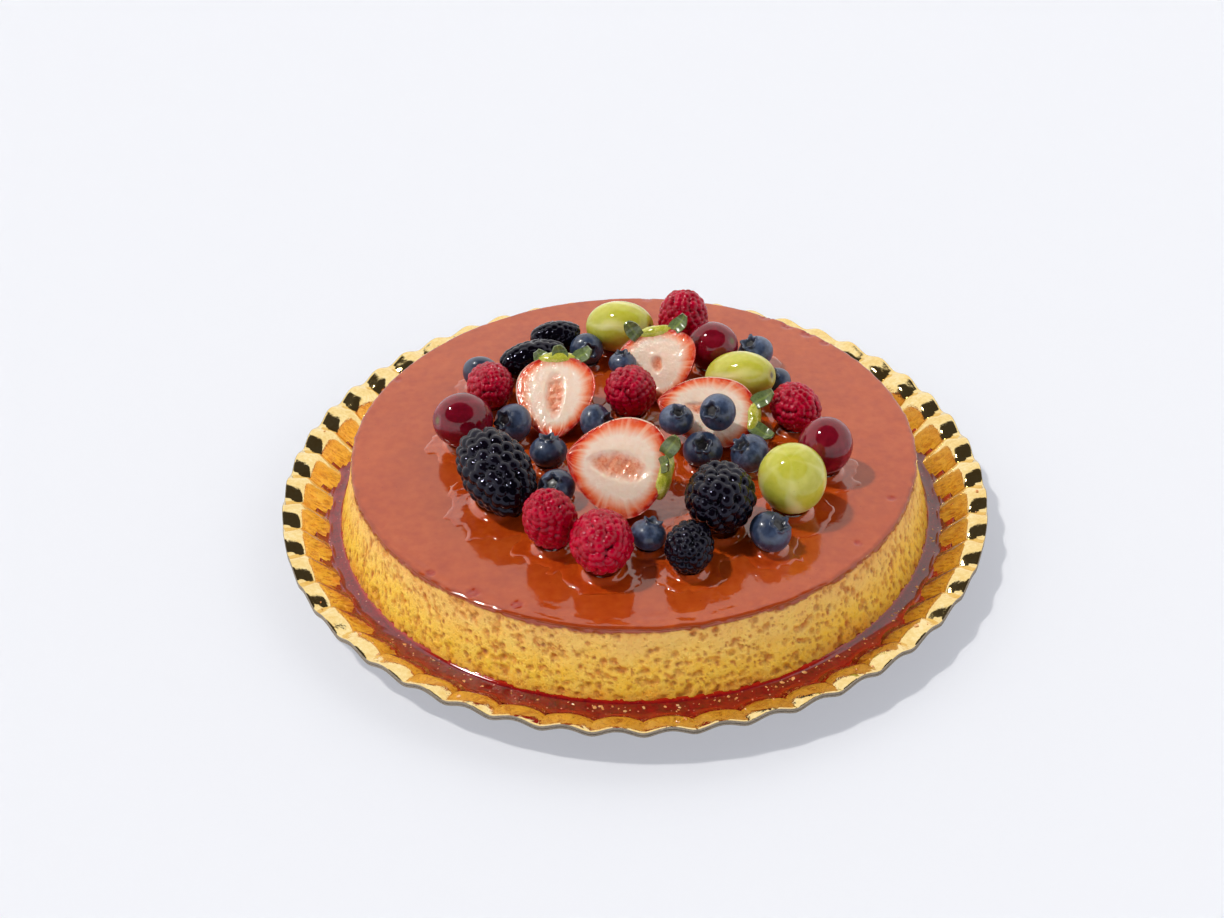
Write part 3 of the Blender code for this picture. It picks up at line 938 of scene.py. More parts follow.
@dataclass
class Custard:
    """The flan: a caramel-soaked, glossy top and a pitted golden side."""

    top: float = 28.0
    top_radius: float = 101.9
    flare_radius: float = 107.6
    under_radius: float = 104.0
    flare_height: float = 4.4
    foot: float = 2.4
    foot_back: float = 1.6
    top_back: float = 4.2
    edge: float = 1.4
    columns: int = 1080
    side_rows: int = 50
    insets: tuple[float, ...] = (
        0.25, 0.7, 1.3, 1.9, 2.6, 3.3, 4, 4.7, 5.4, 6.2, 7, 7.8, 8.8, 10, 11.5, 13, 16, 20, 26, 36, 50, 70,
        92,
    )
    lump: float = 0.16
    pit_count: int = 5200
    pit_sizes: tuple[float, float] = (0.26, 1.3)
    pit_heights: tuple[float, float] = (3.5, 27.2)
    chip_spots: tuple[tuple[float, float, float, float], ...] = (
        (64.7, 80.9, 3.2, 0.5), (71.8, 73.8, 2.8, 0.6), (56.5, 88.1, 3.0, 0.4), (78, 66.6, 2.2, 0.4),
        (30.9, 101.4, 2.2, 0.35), (87.7, -34.7, 1.6, 0.35), (72.8, -58.3, 1.5, 0.3),
        (-53, -78.7, 2.4, 0.35), (-38.7, -84.9, 2.2, 0.3), (-67.4, -68.5, 1.8, 0.3),
        (8.4, 104.5, 2.4, 0.35), (-89.9, 47.1, 2.0, 0.25),
    )

    def radius_at(self, height: Array) -> Array:
        """Radius of the wall at a height, both in mm.

        Args:
            height: Heights over the floor in mm.

        Returns:
            Radii in mm.
        """
        undercut = (self.flare_height - height) / (self.flare_height - self.foot + 0.4)
        low = self.flare_radius - (self.flare_radius - self.under_radius) * undercut
        share = part_way(height, self.flare_height, self.top)
        high = self.top_radius + (self.flare_radius - self.top_radius) * (1 - share) ** 1.4
        return np.where(height < self.flare_height, low, high)

    def back_at(self, height: Array) -> Array:
        """How far behind the board's centre the custard's middle is at a height."""
        return self.foot_back + (self.top_back - self.foot_back) * height / self.top

    def pits(self) -> Array:
        """Every bubble hole in the side.

        Returns:
            Rows of angle in radians, then height, half width, half height and depth in mm.
        """
        rng = np.random.default_rng(21)
        angle = rng.uniform(-math.pi, math.pi, self.pit_count * 3)
        height = rng.uniform(*self.pit_heights, self.pit_count * 3)
        spot = np.c_[angle * self.top_radius / 11, height / 6]
        crowd = soft_noise(spot, seed=3, octaves=3)
        # The front's middle is smoother near its top, and the left and right sides are the most porous.
        bare = near(angle, 0.12 - math.pi / 2, 0.42) * part_way(height, 14, 22)
        keep = rng.uniform(0, 1, len(angle)) < np.clip(0.50 + 0.34 * crowd - 0.42 * bare, 0.02, 0.95)
        angle, height = angle[keep][: self.pit_count], height[keep][: self.pit_count]
        size = np.clip(rng.lognormal(-0.60, 0.42, len(angle)), *self.pit_sizes)
        sideways = part_way(np.abs(angle + math.pi / 2), 0.5, 1.1)
        tall = size * (1.0 + 0.65 * sideways * rng.uniform(0.4, 1.2, len(angle)))
        wide = size * (1.15 - 0.35 * sideways)
        return np.c_[angle, height, wide, tall, size * rng.uniform(0.35, 0.75, len(angle))]

    def carve(self, angle: Array, height: Array) -> tuple[Array, Array]:
        """Digs the pits.

        Args:
            angle: Each vertex's angle in radians.
            height: Each vertex's height in mm.

        Returns:
            How deep each vertex goes in mm, and how much of a pit it is from 0 to 1, which sets the painted
            shade in the pits.
        """
        depth, shade = np.zeros(len(angle)), np.zeros(len(angle))
        order = np.argsort(angle)
        sorted_angle = angle[order]
        for at, up, wide, tall, deep in self.pits():
            reach = 1.35 * wide / self.top_radius
            first, last = np.searchsorted(sorted_angle, (at - reach, at + reach))
            here = order[first:last]
            off = ((angle[here] - at) * self.top_radius / wide) ** 2 + ((height[here] - up) / tall) ** 2
            depth[here] = np.maximum(depth[here], deep * np.clip(1 - off, 0, 1) ** 0.8)
            shade[here] = np.maximum(shade[here], np.clip(1.3 - off, 0, 1))
        return depth, shade

    def ragged(self, angle: Array) -> Array:
        """How far down the side the soaked skin of the top reaches, in mm, at each angle.

        Args:
            angle: Angles in radians, from the right.

        Returns:
            One length for each angle.
        """
        round_it = np.c_[np.cos(angle), np.sin(angle)] * self.top_radius
        slow, quick = soft_noise(round_it / 14, seed=8), soft_noise(round_it / 2.6, seed=9)
        return 0.75 + 0.45 * slow + 0.35 * quick

    def chips(self, points: Array) -> Array:
        """Depth in mm of the broken spots in the top's rim.

        Args:
            points: Rows of x, y, z in mm.

        Returns:
            One depth for each row.
        """
        total = np.zeros(len(points))
        torn = 1 + 0.8 * soft_noise(points[:, :2] / 1.3, seed=31)
        for x, y, size, deep in self.chip_spots:
            off = ((points[:, 0] - x) ** 2 + (points[:, 1] - y) ** 2) / size**2
            total = np.maximum(total, deep * np.clip(1.2 - off, 0, 1) * np.clip(torn, 0, 1.6))
        return total

    def ripples(self, points: Array, radius: Array) -> Array:
        """The faint unevenness of the top in mm: long swells, and short wrinkles along the front edge.

        Args:
            points: Rows of x, y, z in mm.
            radius: How far each point is from the middle in mm.

        Returns:
            One height for each row.
        """
        swell = 0.05 * soft_noise(points[:, :2] / 22, seed=14, octaves=2)
        angle = np.arctan2(points[:, 1] - self.top_back, points[:, 0])
        inset = self.top_radius - radius
        front = near(angle, -math.pi / 2 - 0.28, 0.75)
        inside = part_way(inset, 0.5, 2.0)
        wide_band, narrow_band = part_way(inset, 13.8, 4.8) * inside, part_way(inset, 6.8, 1.8) * inside
        along = np.c_[angle * 9.0, radius / 1.9]
        wrinkle = 0.10 * soft_noise(along, seed=15, octaves=3)
        return swell + wrinkle * wide_band * front + 0.045 * soft_noise(along, seed=16) * narrow_band

    def shape(self, points: Array) -> Array:
        """Shapes the wall and the top from the plain drum, and keeps the masks that the finish reads.

        Args:
            points: The drum's rows of x, y, z in metres.

        Returns:
            The new rows of x, y, z in metres.
        """
        flat = points / MM
        angle = np.arctan2(flat[:, 1], flat[:, 0])
        radius = np.hypot(flat[:, 0], flat[:, 1])
        height = flat[:, 2].copy()
        is_top = height > self.top - 1e-4
        wall = ~is_top
        # The rows of the wall run up to the rounded edge.
        turn = part_way(height, self.top - self.edge, self.top)
        reach = np.where(is_top, radius, self.radius_at(height))
        rounding = self.edge * (1 - np.sqrt(np.clip(1 - turn**2, 0, 1)))
        reach = np.where(wall, reach - rounding * 0.75, reach)
        out = part_way(radius, self.top_radius - self.edge, self.top_radius)
        lowered = 0.42 * self.edge
        height = np.where(is_top, self.top - lowered * out**2.2, height - lowered * turn**3)
        round_it = np.c_[np.cos(angle) * self.top_radius, np.sin(angle) * self.top_radius, height]
        lumps = self.lump * soft_noise(round_it / 9, seed=4) + 0.07 * soft_noise(round_it / 2.4, seed=6)
        lumps -= self.lump
        depth, shade = self.carve(angle, height)
        fade = part_way(height, self.top - 0.2, self.top - 1.4) * part_way(height, 2.6, 3.8)
        torn_rim = lumps * 1.8 * part_way(radius, self.top_radius - 2.6, self.top_radius)
        reach = np.where(wall, reach + lumps - depth * fade, reach + torn_rim)
        shaped = np.c_[np.cos(angle) * reach, np.sin(angle) * reach, height]
        shaped[:, 2] += np.where(is_top, self.ripples(shaped, radius) - 0.1, -0.1 * turn)
        shaped[:, 1] += self.back_at(shaped[:, 2])
        shaped[:, 2] -= self.chips(shaped) * np.where(is_top, 1.0, turn)
        soaked_from = self.top - self.edge - self.ragged(angle)
        rim = 1.3 - (self.top_radius - radius) / 1.3 + 0.5 * soft_noise(round_it / 5, seed=12)
        self.masks = {
            "soaked": np.where(is_top, 1.0, part_way(height, soaked_from, soaked_from + 0.5)),
            # The pit mask marks where the finish paints shade into the pits.
            "pit": np.where(wall, shade * fade, 0.0),
            "torn": np.clip(self.chips(shaped) * 4, 0, 1) * np.where(is_top, 1, turn),
            "rim": np.where(is_top, np.clip(rim, 0, 1), 1.0),
        }
        shaped[:, 2] = np.clip(shaped[:, 2], self.foot, self.top)
        return shaped * MM

    def build(self) -> bpy.types.Object:
        """Cuts a drum's wall into rows, steps its top edge inwards, and shapes it.

        Returns:
            The object.
        """
        clear_selection()
        middle = (self.foot + self.top) / 2 * MM
        bpy.ops.mesh.primitive_cylinder_add(
            vertices=self.columns, radius=self.top_radius * MM, depth=(self.top - self.foot) * MM,
            end_fill_type="NOTHING", location=(0, 0, 0),
        )
        custard = fresh("custard_flan")
        place(custard, Matrix.Translation((0, 0, middle)))
        with edit_mode(custard):
            mesh = bmesh.from_edit_mesh(custard.data)
            bpy.ops.mesh.select_mode(type="EDGE")
            bpy.ops.mesh.select_all(action="DESELECT")
            for edge in mesh.edges:
                low, high = sorted(vert.co.z for vert in edge.verts)
                edge.select_set(high - low > 1 * MM)
            bpy.ops.mesh.subdivide(number_cuts=self.side_rows)
            mesh = bmesh.from_edit_mesh(custard.data)
            for way, last in ((1, self.top), (-1, self.foot)):
                bpy.ops.mesh.select_all(action="DESELECT")
                for edge in mesh.edges:
                    if all(abs(vert.co.z - last * MM) < 0.01 * MM for vert in edge.verts):
                        edge.select_set(True)
                reach = self.top_radius
                for inset in self.insets if way > 0 else ():
                    spread_edges(reach, self.top_radius - inset)
                    reach = self.top_radius - inset
                bpy.ops.mesh.edge_face_add()
                mesh = bmesh.from_edit_mesh(custard.data)
            bpy.ops.mesh.select_all(action="SELECT")
            bpy.ops.mesh.normals_make_consistent(inside=False)
        sculpt(custard, self.shape)
        write_masks(custard, self.masks)
        dress(custard, CustardSkin().make())
        smooth(custard, 180)
        settle(custard, "custard", "custard")
        return custard


# The caramel


@dataclass(frozen=True)
class CaramelSyrup:
    """Deep crimson syrup with specks, orange-red against the custard and redder where it is thinnest."""

    reds: tuple[str, str, str] = ("50000E", "7C0012", "980014")
    shallow: str = "96100C"
    grit: str = "F0A08C"
    shore: str = "B8240C"

    def make(self) -> bpy.types.Material:
        """Mottles the syrup and scatters grit through it.

        Returns:
            The material.
        """
        made = Finish("caramel syrup", wet(0.05, 1.5, 0.6, 0.03))
        nodes = made.nodes
        red = nodes.shades(made.mottle(240, 0.5), *self.reds)
        colour = nodes.mix(nodes.mask("depth"), self.shallow, red)
        grit = nodes.scaled(made.specks(700, 0.24, 0.34), nodes.between(nodes.noise(150, 2), 0.35, 0.55))
        colour = nodes.mix(nodes.scaled(grit, 0.8), colour, self.grit)
        wandering = nodes.added(nodes.mask("foot"), nodes.scaled(nodes.noise(300), 0.5))
        colour = nodes.mix(nodes.between(wandering, 0.55, 1.0), colour, self.shore)
        return made.feed(base_color=colour, normal=nodes.bump(nodes.noise(260, 2), 0.0001, 0.4))


@dataclass(frozen=True)
class WetCrumb:
    """Wet custard, cream to orange."""

    shades: tuple[str, str, str] = ("C8641E", "F0B070", "FBE2B4")

    def make(self) -> bpy.types.Material:
        """Mottles the crumbs.

        Returns:
            The material.
        """
        made = Finish("wet crumbs", {
            "Roughness": 0.2, "IOR": 1.45, "Subsurface Weight": 0.2, "Subsurface Scale": 0.001,
        })
        nodes = made.nodes
        colour = nodes.shades(made.mottle(260, 0.5), *self.shades)
        return made.feed(base_color=colour, normal=nodes.bump(nodes.noise(1500, 2), 0.0001, 0.5))


@dataclass
class Syrup:
    """The caramel that stands round the custard's foot and runs in between the lobes' ends."""

    board: FoilBoard
    custard: Custard
    level: float = 4.0
    columns_per_lobe: int = 12
    across: int = 56
    shore: float = 116.0
    wall_climb: float = 1.0
    lobe_climb: float = 0.55
    ring_radius: float = 100.0
    sunk: float = 0.25
    gap: float = 0.4

    def section(self, points: Array) -> Array:
        """Maps the ring's round section on to the pool's: along its surface, then back under it.

        Args:
            points: The ring's rows of x, y, z in metres.

        Returns:
            The new rows of x, y, z in metres.
        """
        flat = points / MM
        angle = np.arctan2(flat[:, 1], flat[:, 0])
        out = np.hypot(flat[:, 0], flat[:, 1]) - self.ring_radius
        turn = np.arctan2(flat[:, 2], out) % (2 * math.pi)
        over = turn <= math.pi + 1e-6
        share = np.where(over, 1 - turn / math.pi, (turn - math.pi) / math.pi)
        round_it = np.c_[np.cos(angle), np.sin(angle)]
        wall = self.custard.radius_at(np.full(len(angle), self.level))
        foot = wall - 0.1 + self.custard.back_at(np.array(self.level)) * round_it[:, 1]
        reach = foot + (self.shore - foot) * share
        lying = self.board.thickness + self.board.surface(reach, angle)
        depth = self.level - lying
        ripple = 0.04 * soft_noise(round_it * reach[:, None] / 5, seed=43, octaves=2)
        climb = self.wall_climb * np.exp(-(reach - foot) / 0.8)
        climb += self.lobe_climb * np.exp(-np.maximum(depth, 0) / 0.35)
        top = np.where(depth > -self.lobe_climb, self.level + climb + ripple, lying - self.sunk)
        top = np.where(lying > top, lying - self.sunk, top)
        under = np.minimum(np.maximum(lying - self.gap, self.board.thickness + 0.35), top - 0.02)
        self.masks = {"depth": np.clip(depth / 0.8, 0, 1), "foot": np.exp(-(reach - foot) / 1.2)}
        return np.c_[round_it * reach[:, None], np.where(over, top, under)] * MM

    def build(self) -> bpy.types.Object:
        """Lays a ring round the custard and flattens it into a pool.

        Returns:
            The object.
        """
        clear_selection()
        bpy.ops.mesh.primitive_torus_add(
            major_segments=self.board.lobes * self.columns_per_lobe, minor_segments=self.across,
            major_radius=self.ring_radius * MM, minor_radius=5 * MM, location=(0, 0, 0),
        )
        pool = fresh("syrup_pool")
        sculpt(pool, self.section)
        write_masks(pool, self.masks)
        close_up(pool, within=0.001 * MM)
        dress(pool, CaramelSyrup().make())
        smooth(pool, 180)
        settle(pool, "caramel", "caramel_pool")
        return pool


@dataclass
class Crumbs:
    """Pale crumbs of custard that lie in the caramel and on the front brim."""

    board: FoilBoard
    syrup: Syrup
    count: int = 110
    sizes: tuple[float, float] = (0.35, 0.95)
    in_syrup: float = 0.8

    def spots(self) -> Iterator[tuple[float, float, float, float]]:
        """The place and the size of each crumb in mm.

        Yields:
            x, y, z and the size.
        """
        rng = np.random.default_rng(91)
        for _ in range(self.count):
            angle = -math.pi / 2 + rng.normal(0, 0.85)
            size = rng.uniform(*self.sizes)
            if rng.uniform() < self.in_syrup:
                radius = 108.6 + abs(rng.normal(0, 1.3))
                height = self.syrup.level - 0.15 * size
            else:
                radius = rng.uniform(120.5, 125)
                height = self.board.thickness + self.board.surface(np.array([radius]), np.array([angle]))[0]
            back = self.syrup.custard.foot_back * math.sin(angle) if radius < 115 else 0.0
            yield (radius + back) * math.cos(angle), (radius + back) * math.sin(angle), height, size

    def build(self) -> bpy.types.Object:
        """Knocks one small ball out of shape again and again, and joins them.

        Returns:
            The object.
        """
        clear_selection()
        bpy.ops.mesh.primitive_ico_sphere_add(subdivisions=1, radius=1.0, location=(0, 0, 0))
        model = fresh("crumb")
        ball = points_of(model)
        crumbs = []
        rng = np.random.default_rng(92)
        for x, y, z, size in self.spots():
            crumb = model.copy()
            crumb.data = model.data.copy()
            bpy.context.scene.collection.objects.link(crumb)
            knocked = ball * rng.uniform(0.65, 1.25, (len(ball), 1))
            flattened = knocked * rng.uniform((0.7, 0.5, 0.4), (1.2, 0.9, 0.6)) * size
            spun = flattened @ np.array(Matrix.Rotation(rng.uniform(0, 6), 3, "Z"))
            set_points(crumb, (spun + np.array([x, y, z])) * MM)
            crumbs.append(crumb)
        bpy.data.objects.remove(model)
        crumbs = join("custard_crumbs", crumbs)
        dress(crumbs, WetCrumb().make())
        smooth(crumbs, 40)
        settle(crumbs, "custard")
        return crumbs


# The fruit


def turned(angle: float, axis: str) -> Matrix:
    """A turn of so many degrees about an axis."""
    return Matrix.Rotation(math.radians(angle), 4, axis)


def lean(tilt: float, heading: float, spin: float = 0.0) -> Matrix:
    """A turn of spin, then a lean of tilt towards a heading, in degrees; 0 is the front, 90 the right."""
    return turned(heading, "Z") @ turned(tilt, "X") @ turned(spin, "Z")


def fit_to_node(obj: bpy.types.Object, node: str) -> None:
    """Moves and evens out a shaped fruit so that it fills its node's box.

    Args:
        obj: The fruit.
        node: The node's name.
    """
    low, high = (np.array(corner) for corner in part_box(node))
    points = points_of(obj)
    least, most = points.min(0), points.max(0)
    set_points(obj, (points - (least + most) / 2) * ((high - low) / (most - least)) + (low + high) / 2)


@dataclass
class RoundFruit:
    """Any fruit that is shaped from a ball and lies where its node is."""

    node: str

    def lay(self, columns: int, rows: int, slot: str, skin: bpy.types.Material) -> bpy.types.Object:
        """Makes the fruit where its node lies.

        Args:
            columns: How many faces go round the ball.
            rows: How many go from pole to pole.
            slot: The record's slot that it belongs to.
            skin: Its material.

        Returns:
            The fruit.
        """
        fruit = add_tube_ball("glazed_" + self.node, columns, rows)
        sculpt(fruit, self.shape)
        write_masks(fruit, self.masks)
        place(fruit, lean(*self.way))
        fit_to_node(fruit, self.node)
        dress(fruit, skin)
        smooth(fruit, 180)
        settle(fruit, slot, self.node)
        return fruit


@dataclass(frozen=True)
class GrapeLook:
    """How one kind of grape is coloured."""

    name: str
    deep: str
    pale: str
    vein: str
    vein_share: float
    speck: str = "5B4A1E"
    scar: str = "6B5A26"

    def make(self) -> bpy.types.Material:
        """Clear wet skin over flesh with faint veins that run from end to end.

        Returns:
            The material.
        """
        made = Finish(self.name, {
            "Roughness": 0.06, "IOR": 1.5, "Subsurface Weight": 0.35, "Subsurface Scale": 0.004,
            "Subsurface Radius": (1.0, 0.6, 0.3),
        })
        nodes = made.nodes
        mottled = nodes.mix(made.mottle(90, 0.35), self.deep, self.pale)
        vein = nodes.scaled(nodes.mask("vein"), self.vein_share)
        colour = nodes.mix(vein, mottled, self.vein)
        colour = nodes.mix(nodes.scaled(made.specks(700, 0.12, 0.10), 0.5), colour, self.speck)
        colour = nodes.mix(nodes.mask("scar"), colour, self.scar)
        return made.feed(base_color=colour, normal=nodes.bump(nodes.noise(170, 2), 0.0003, 0.5))


class GrapeKind(Enum):
    """The two colours of grape."""

    RED = GrapeLook("red grape skin", "5A0416", "8E0C26", "A83248", 0.35)
    GREEN = GrapeLook("green grape skin", "B4B22E", "D0CC5A", "ECE6A0", 0.8)


@dataclass
class Grape(RoundFruit):
    """One wet grape, a little blunter at its stalk end."""

    kind: GrapeKind
    size: tuple[float, float]
    way: tuple[float, float]
    seed: int

    def shape(self, points: Array) -> Array:
        """An egg with a dimple at its stalk end and slight dents.

        Args:
            points: The unit ball's rows of x, y, z.

        Returns:
            The new rows of x, y, z in metres.
        """
        length, width = self.size
        along = points[:, 2]
        blunt = 1 - 0.04 * along
        dent = 1 + 0.012 * soft_noise(points * 0.8, seed=self.seed, octaves=2)
        stalk = np.exp(-((1 - along) / 0.035) ** 2)
        shaped = points * np.c_[blunt, blunt, np.ones(len(points))] * dent[:, None]
        shaped[:, 2] -= 0.07 * stalk
        angle = np.arctan2(points[:, 1], points[:, 0])
        vein = np.clip(np.cos(angle * 5 + soft_noise(points, self.seed + 1) * 0.9) - 0.55, 0, 1) / 0.45
        fading = np.clip(1.1 - np.abs(along), 0, 1)
        self.masks = {"vein": vein * fading, "scar": part_way(along, 0.985, 0.995)}
        return shaped * np.array([width / 2, width / 2, length / 2]) * MM

    def build(self, skin: bpy.types.Material) -> bpy.types.Object:
        """Makes the grape."""
        return self.lay(56, 40, self.kind.name.lower() + "_grape", skin)


@dataclass(frozen=True)
class DrupeletLook:
    """How the beads of one kind of compound berry are laid out and coloured."""

    name: str
    slot: str
    around: int
    rows: int
    taper: float
    hollow: float
    deep: str
    pale: str
    crease_shade: str
    flare: str
    roughness: float
    sheen: Colour

    def make(self) -> bpy.types.Material:
        """Wet beads, with painted shade in the creases between them.

        Returns:
            The material.
        """
        made = Finish(self.name, {
            "Roughness": self.roughness, "IOR": 1.37, "Subsurface Weight": 0.12, "Subsurface Scale": 0.002,
            "Specular Tint": self.sheen,
        })
        nodes = made.nodes
        bead = nodes.mix(nodes.mask("bead"), self.deep, self.pale)
        bead = nodes.mix(nodes.scaled(made.specks(1500, 0.16, 0.3), 0.5), bead, self.flare)
        # Painted shade: the colour darkens where the beads sink into the creases.
        colour = nodes.mix(nodes.between(nodes.mask("rise"), 0.6, 0.1), bead, self.crease_shade)
        return made.feed(base_color=colour, normal=nodes.bump(nodes.noise(900), 0.00008, 0.5))


class BeadKind(Enum):
    """The kinds of berry that are made of beads."""

    # The third colour of each kind is the painted shade in the creases between the beads.
    RASPBERRY = DrupeletLook(
        "raspberry beads", "raspberry", 19, 13, 0.22, 0.25, "94001A", "B8002C", "5C0012", "D82448", 0.12,
        (1.0, 0.75, 0.85, 1.0),
    )
    BRAMBLE = DrupeletLook(
        "bramble beads", "bramble", 15, 12, 0.12, 0.06, "040208", "0A0610", "010102", "140A1C", 0.04,
        (0.6, 0.6, 0.85, 1.0),
    )


@dataclass
class BeadBerry(RoundFruit):
    """One berry of joined beads round a core, tip upwards and open at its base."""

    kind: BeadKind
    size: tuple[float, float]
    way: tuple[float, float]
    seed: int
    rows_scale: float = 1.0
    relief: float = 1.0

    def girth(self, along: Array) -> Array:
        """Half the core's width at a share of its length, as a part of half its greatest."""
        return np.sin(math.pi * (0.10 + 0.90 * along)) ** 0.75 * (1 - self.kind.value.taper * along)

    def core(self, along: Array, angle: Array) -> Array:
        """The smooth berry under its beads.

        Args:
            along: Shares of the way from base to tip.
            angle: Angles round it in radians.

        Returns:
            Rows of x, y, z in mm.
        """
        length, width = self.size
        radius = width / 2 * self.girth(along)
        height = -length / 2 * np.cos(math.pi * (0.10 + 0.90 * along))
        return np.c_[radius * np.cos(angle), radius * np.sin(angle), height]

    def beads(self) -> tuple[Array, Array]:
        """The beads' middles on the core and their sizes in mm.

        Returns:
            Rows of x, y, z in mm, and one size for each.
        """
        look = self.kind.value
        rng = np.random.default_rng(self.seed)
        length, width = self.size
        rows = max(6, round(look.rows * self.rows_scale))
        shares, angles, sizes = [], [], []
        for row in range(rows + 1):
            along = row / rows
            girth = max(self.girth(along), 0.02)
            count = max(1, round(look.around * girth))
            pitch = math.pi * width * girth / count
            for i in range(count):
                shares.append(np.clip(along + rng.normal(0, 0.008), 0, 1))
                angles.append(2 * math.pi * (i + 0.5 * (row % 2) + rng.normal(0, 0.10)) / count)
                sizes.append(max(pitch, length / rows * 0.95) * rng.uniform(0.54, 0.64))
        return self.core(np.array(shares), np.array(angles)), np.array(sizes)

    def shape(self, points: Array) -> Array:
        """Pushes the beads out of the core.

        Args:
            points: The unit ball's rows of x, y, z.

        Returns:
            The new rows of x, y, z in metres.
        """
        look = self.kind.value
        length, width = self.size
        along = np.arccos(np.clip(-points[:, 2], -1, 1)) / math.pi
        angle = np.arctan2(points[:, 1], points[:, 0])
        core = self.core(along, angle)
        middles, sizes = self.beads()
        gaps = np.linalg.norm(core[:, None, :] - middles[None, :, :], axis=2) / sizes[None, :]
        nearest = gaps.argmin(axis=1)
        close = gaps[np.arange(len(core)), nearest]
        rise = np.sqrt(np.clip(1 - close**2, 0.0, 1))
        outward = core / np.maximum(np.linalg.norm(core, axis=1), 1e-6)[:, None]
        fade = np.clip((along - 0.03) / 0.06, 0, 1)
        core += outward * (rise * sizes[nearest] * self.relief * fade)[:, None]
        dish = np.clip(1 - along / 0.10, 0, 1)
        core[:, 2] += look.hollow * length * dish**0.7 * 0.9
        tint = np.random.default_rng(self.seed + 7).uniform(0, 1, len(sizes))
        # The rise mask also sets the painted shade in the creases.
        self.masks = {"rise": rise, "bead": tint[nearest]}
        return core * MM

    def build(self, skin: bpy.types.Material) -> bpy.types.Object:
        """Makes the berry, with seven rows and columns of faces to a bead."""
        look = self.kind.value
        return self.lay(look.around * 7, look.rows * 7, look.slot, skin)


@dataclass
class Blueberry(RoundFruit):
    """One dusty blueberry with a star crown round a dish."""

    width: float
    way: tuple[float, float]
    seed: int

    def shape(self, points: Array) -> Array:
        """A flattened ball with a five-pointed crown.

        Args:
            points: The unit ball's rows of x, y, z.

        Returns:
            The new rows of x, y, z in metres.
        """
        rng = np.random.default_rng(self.seed)
        polar = np.arccos(np.clip(points[:, 2], -1, 1))
        angle = np.arctan2(points[:, 1], points[:, 0]) + rng.uniform(0, 6)
        star = 0.5 + 0.5 * np.cos(5 * angle + 0.5 * np.sin(2 * angle + self.seed))
        rim = 0.40 + 0.05 * (star - 0.5)
        wall = np.exp(-(((polar - rim) / 0.07) ** 2))
        dish = np.clip((rim - 0.04 - polar) / 0.10, 0, 1)
        dent = 1 + 0.02 * soft_noise(points * 0.9, seed=self.seed, octaves=2)
        shaped = points * dent[:, None]
        shaped[:, 2] *= np.where(points[:, 2] > 0, 0.86, 0.84)
        shaped[:, 2] += wall * (0.05 + 0.11 * star) - dish * 0.20
        shaped[:, :2] *= (1 + 0.35 * wall * star)[:, None]
        self.masks = {"crown": np.clip(wall * 0.8 + dish, 0, 1), "dish": dish}
        return shaped * self.width / 2 * MM

    def build(self, skin: bpy.types.Material) -> bpy.types.Object:
        """Makes the blueberry."""
        return self.lay(60, 52, "blueberry", skin)


@dataclass(frozen=True)
class BlueberrySkin:
    """Navy skin with a pale dusty bloom that is rubbed off in places, under a thin glaze."""

    skins: tuple[tuple[float, str], ...] = ((0.0, "1C2439"), (0.4, "3A4966"), (1.0, "67799A"))
    speck: str = "0B0D16"
    crown: str = "1A1B2A"
    dish: str = "0E0B12"

    def make(self) -> bpy.types.Material:
        """Dusts the skin, and darkens its crown.

        Returns:
            The material.
        """
        made = Finish("blueberry skin", {"Coat Weight": 0.4, "Coat Roughness": 0.04, "IOR": 1.45})
        nodes = made.nodes
        bloom = nodes.scaled(made.mottle(130, 0.5), nodes.between(nodes.noise(45, 2), 0.25, 0.6))
        colour = nodes.ramp(bloom, self.skins)
        colour = nodes.mix(nodes.scaled(made.specks(1200, 0.16, 0.2), 0.5), colour, self.speck)
        colour = nodes.mix(nodes.scaled(nodes.mask("crown"), 0.55), colour, self.crown)
        colour = nodes.mix(nodes.mask("dish"), colour, self.dish)
        skin = nodes.bump(nodes.noise(700), 0.00008, 0.6)
        return made.feed(base_color=colour, roughness=nodes.from_to(bloom, 0.25, 0.6), normal=skin)


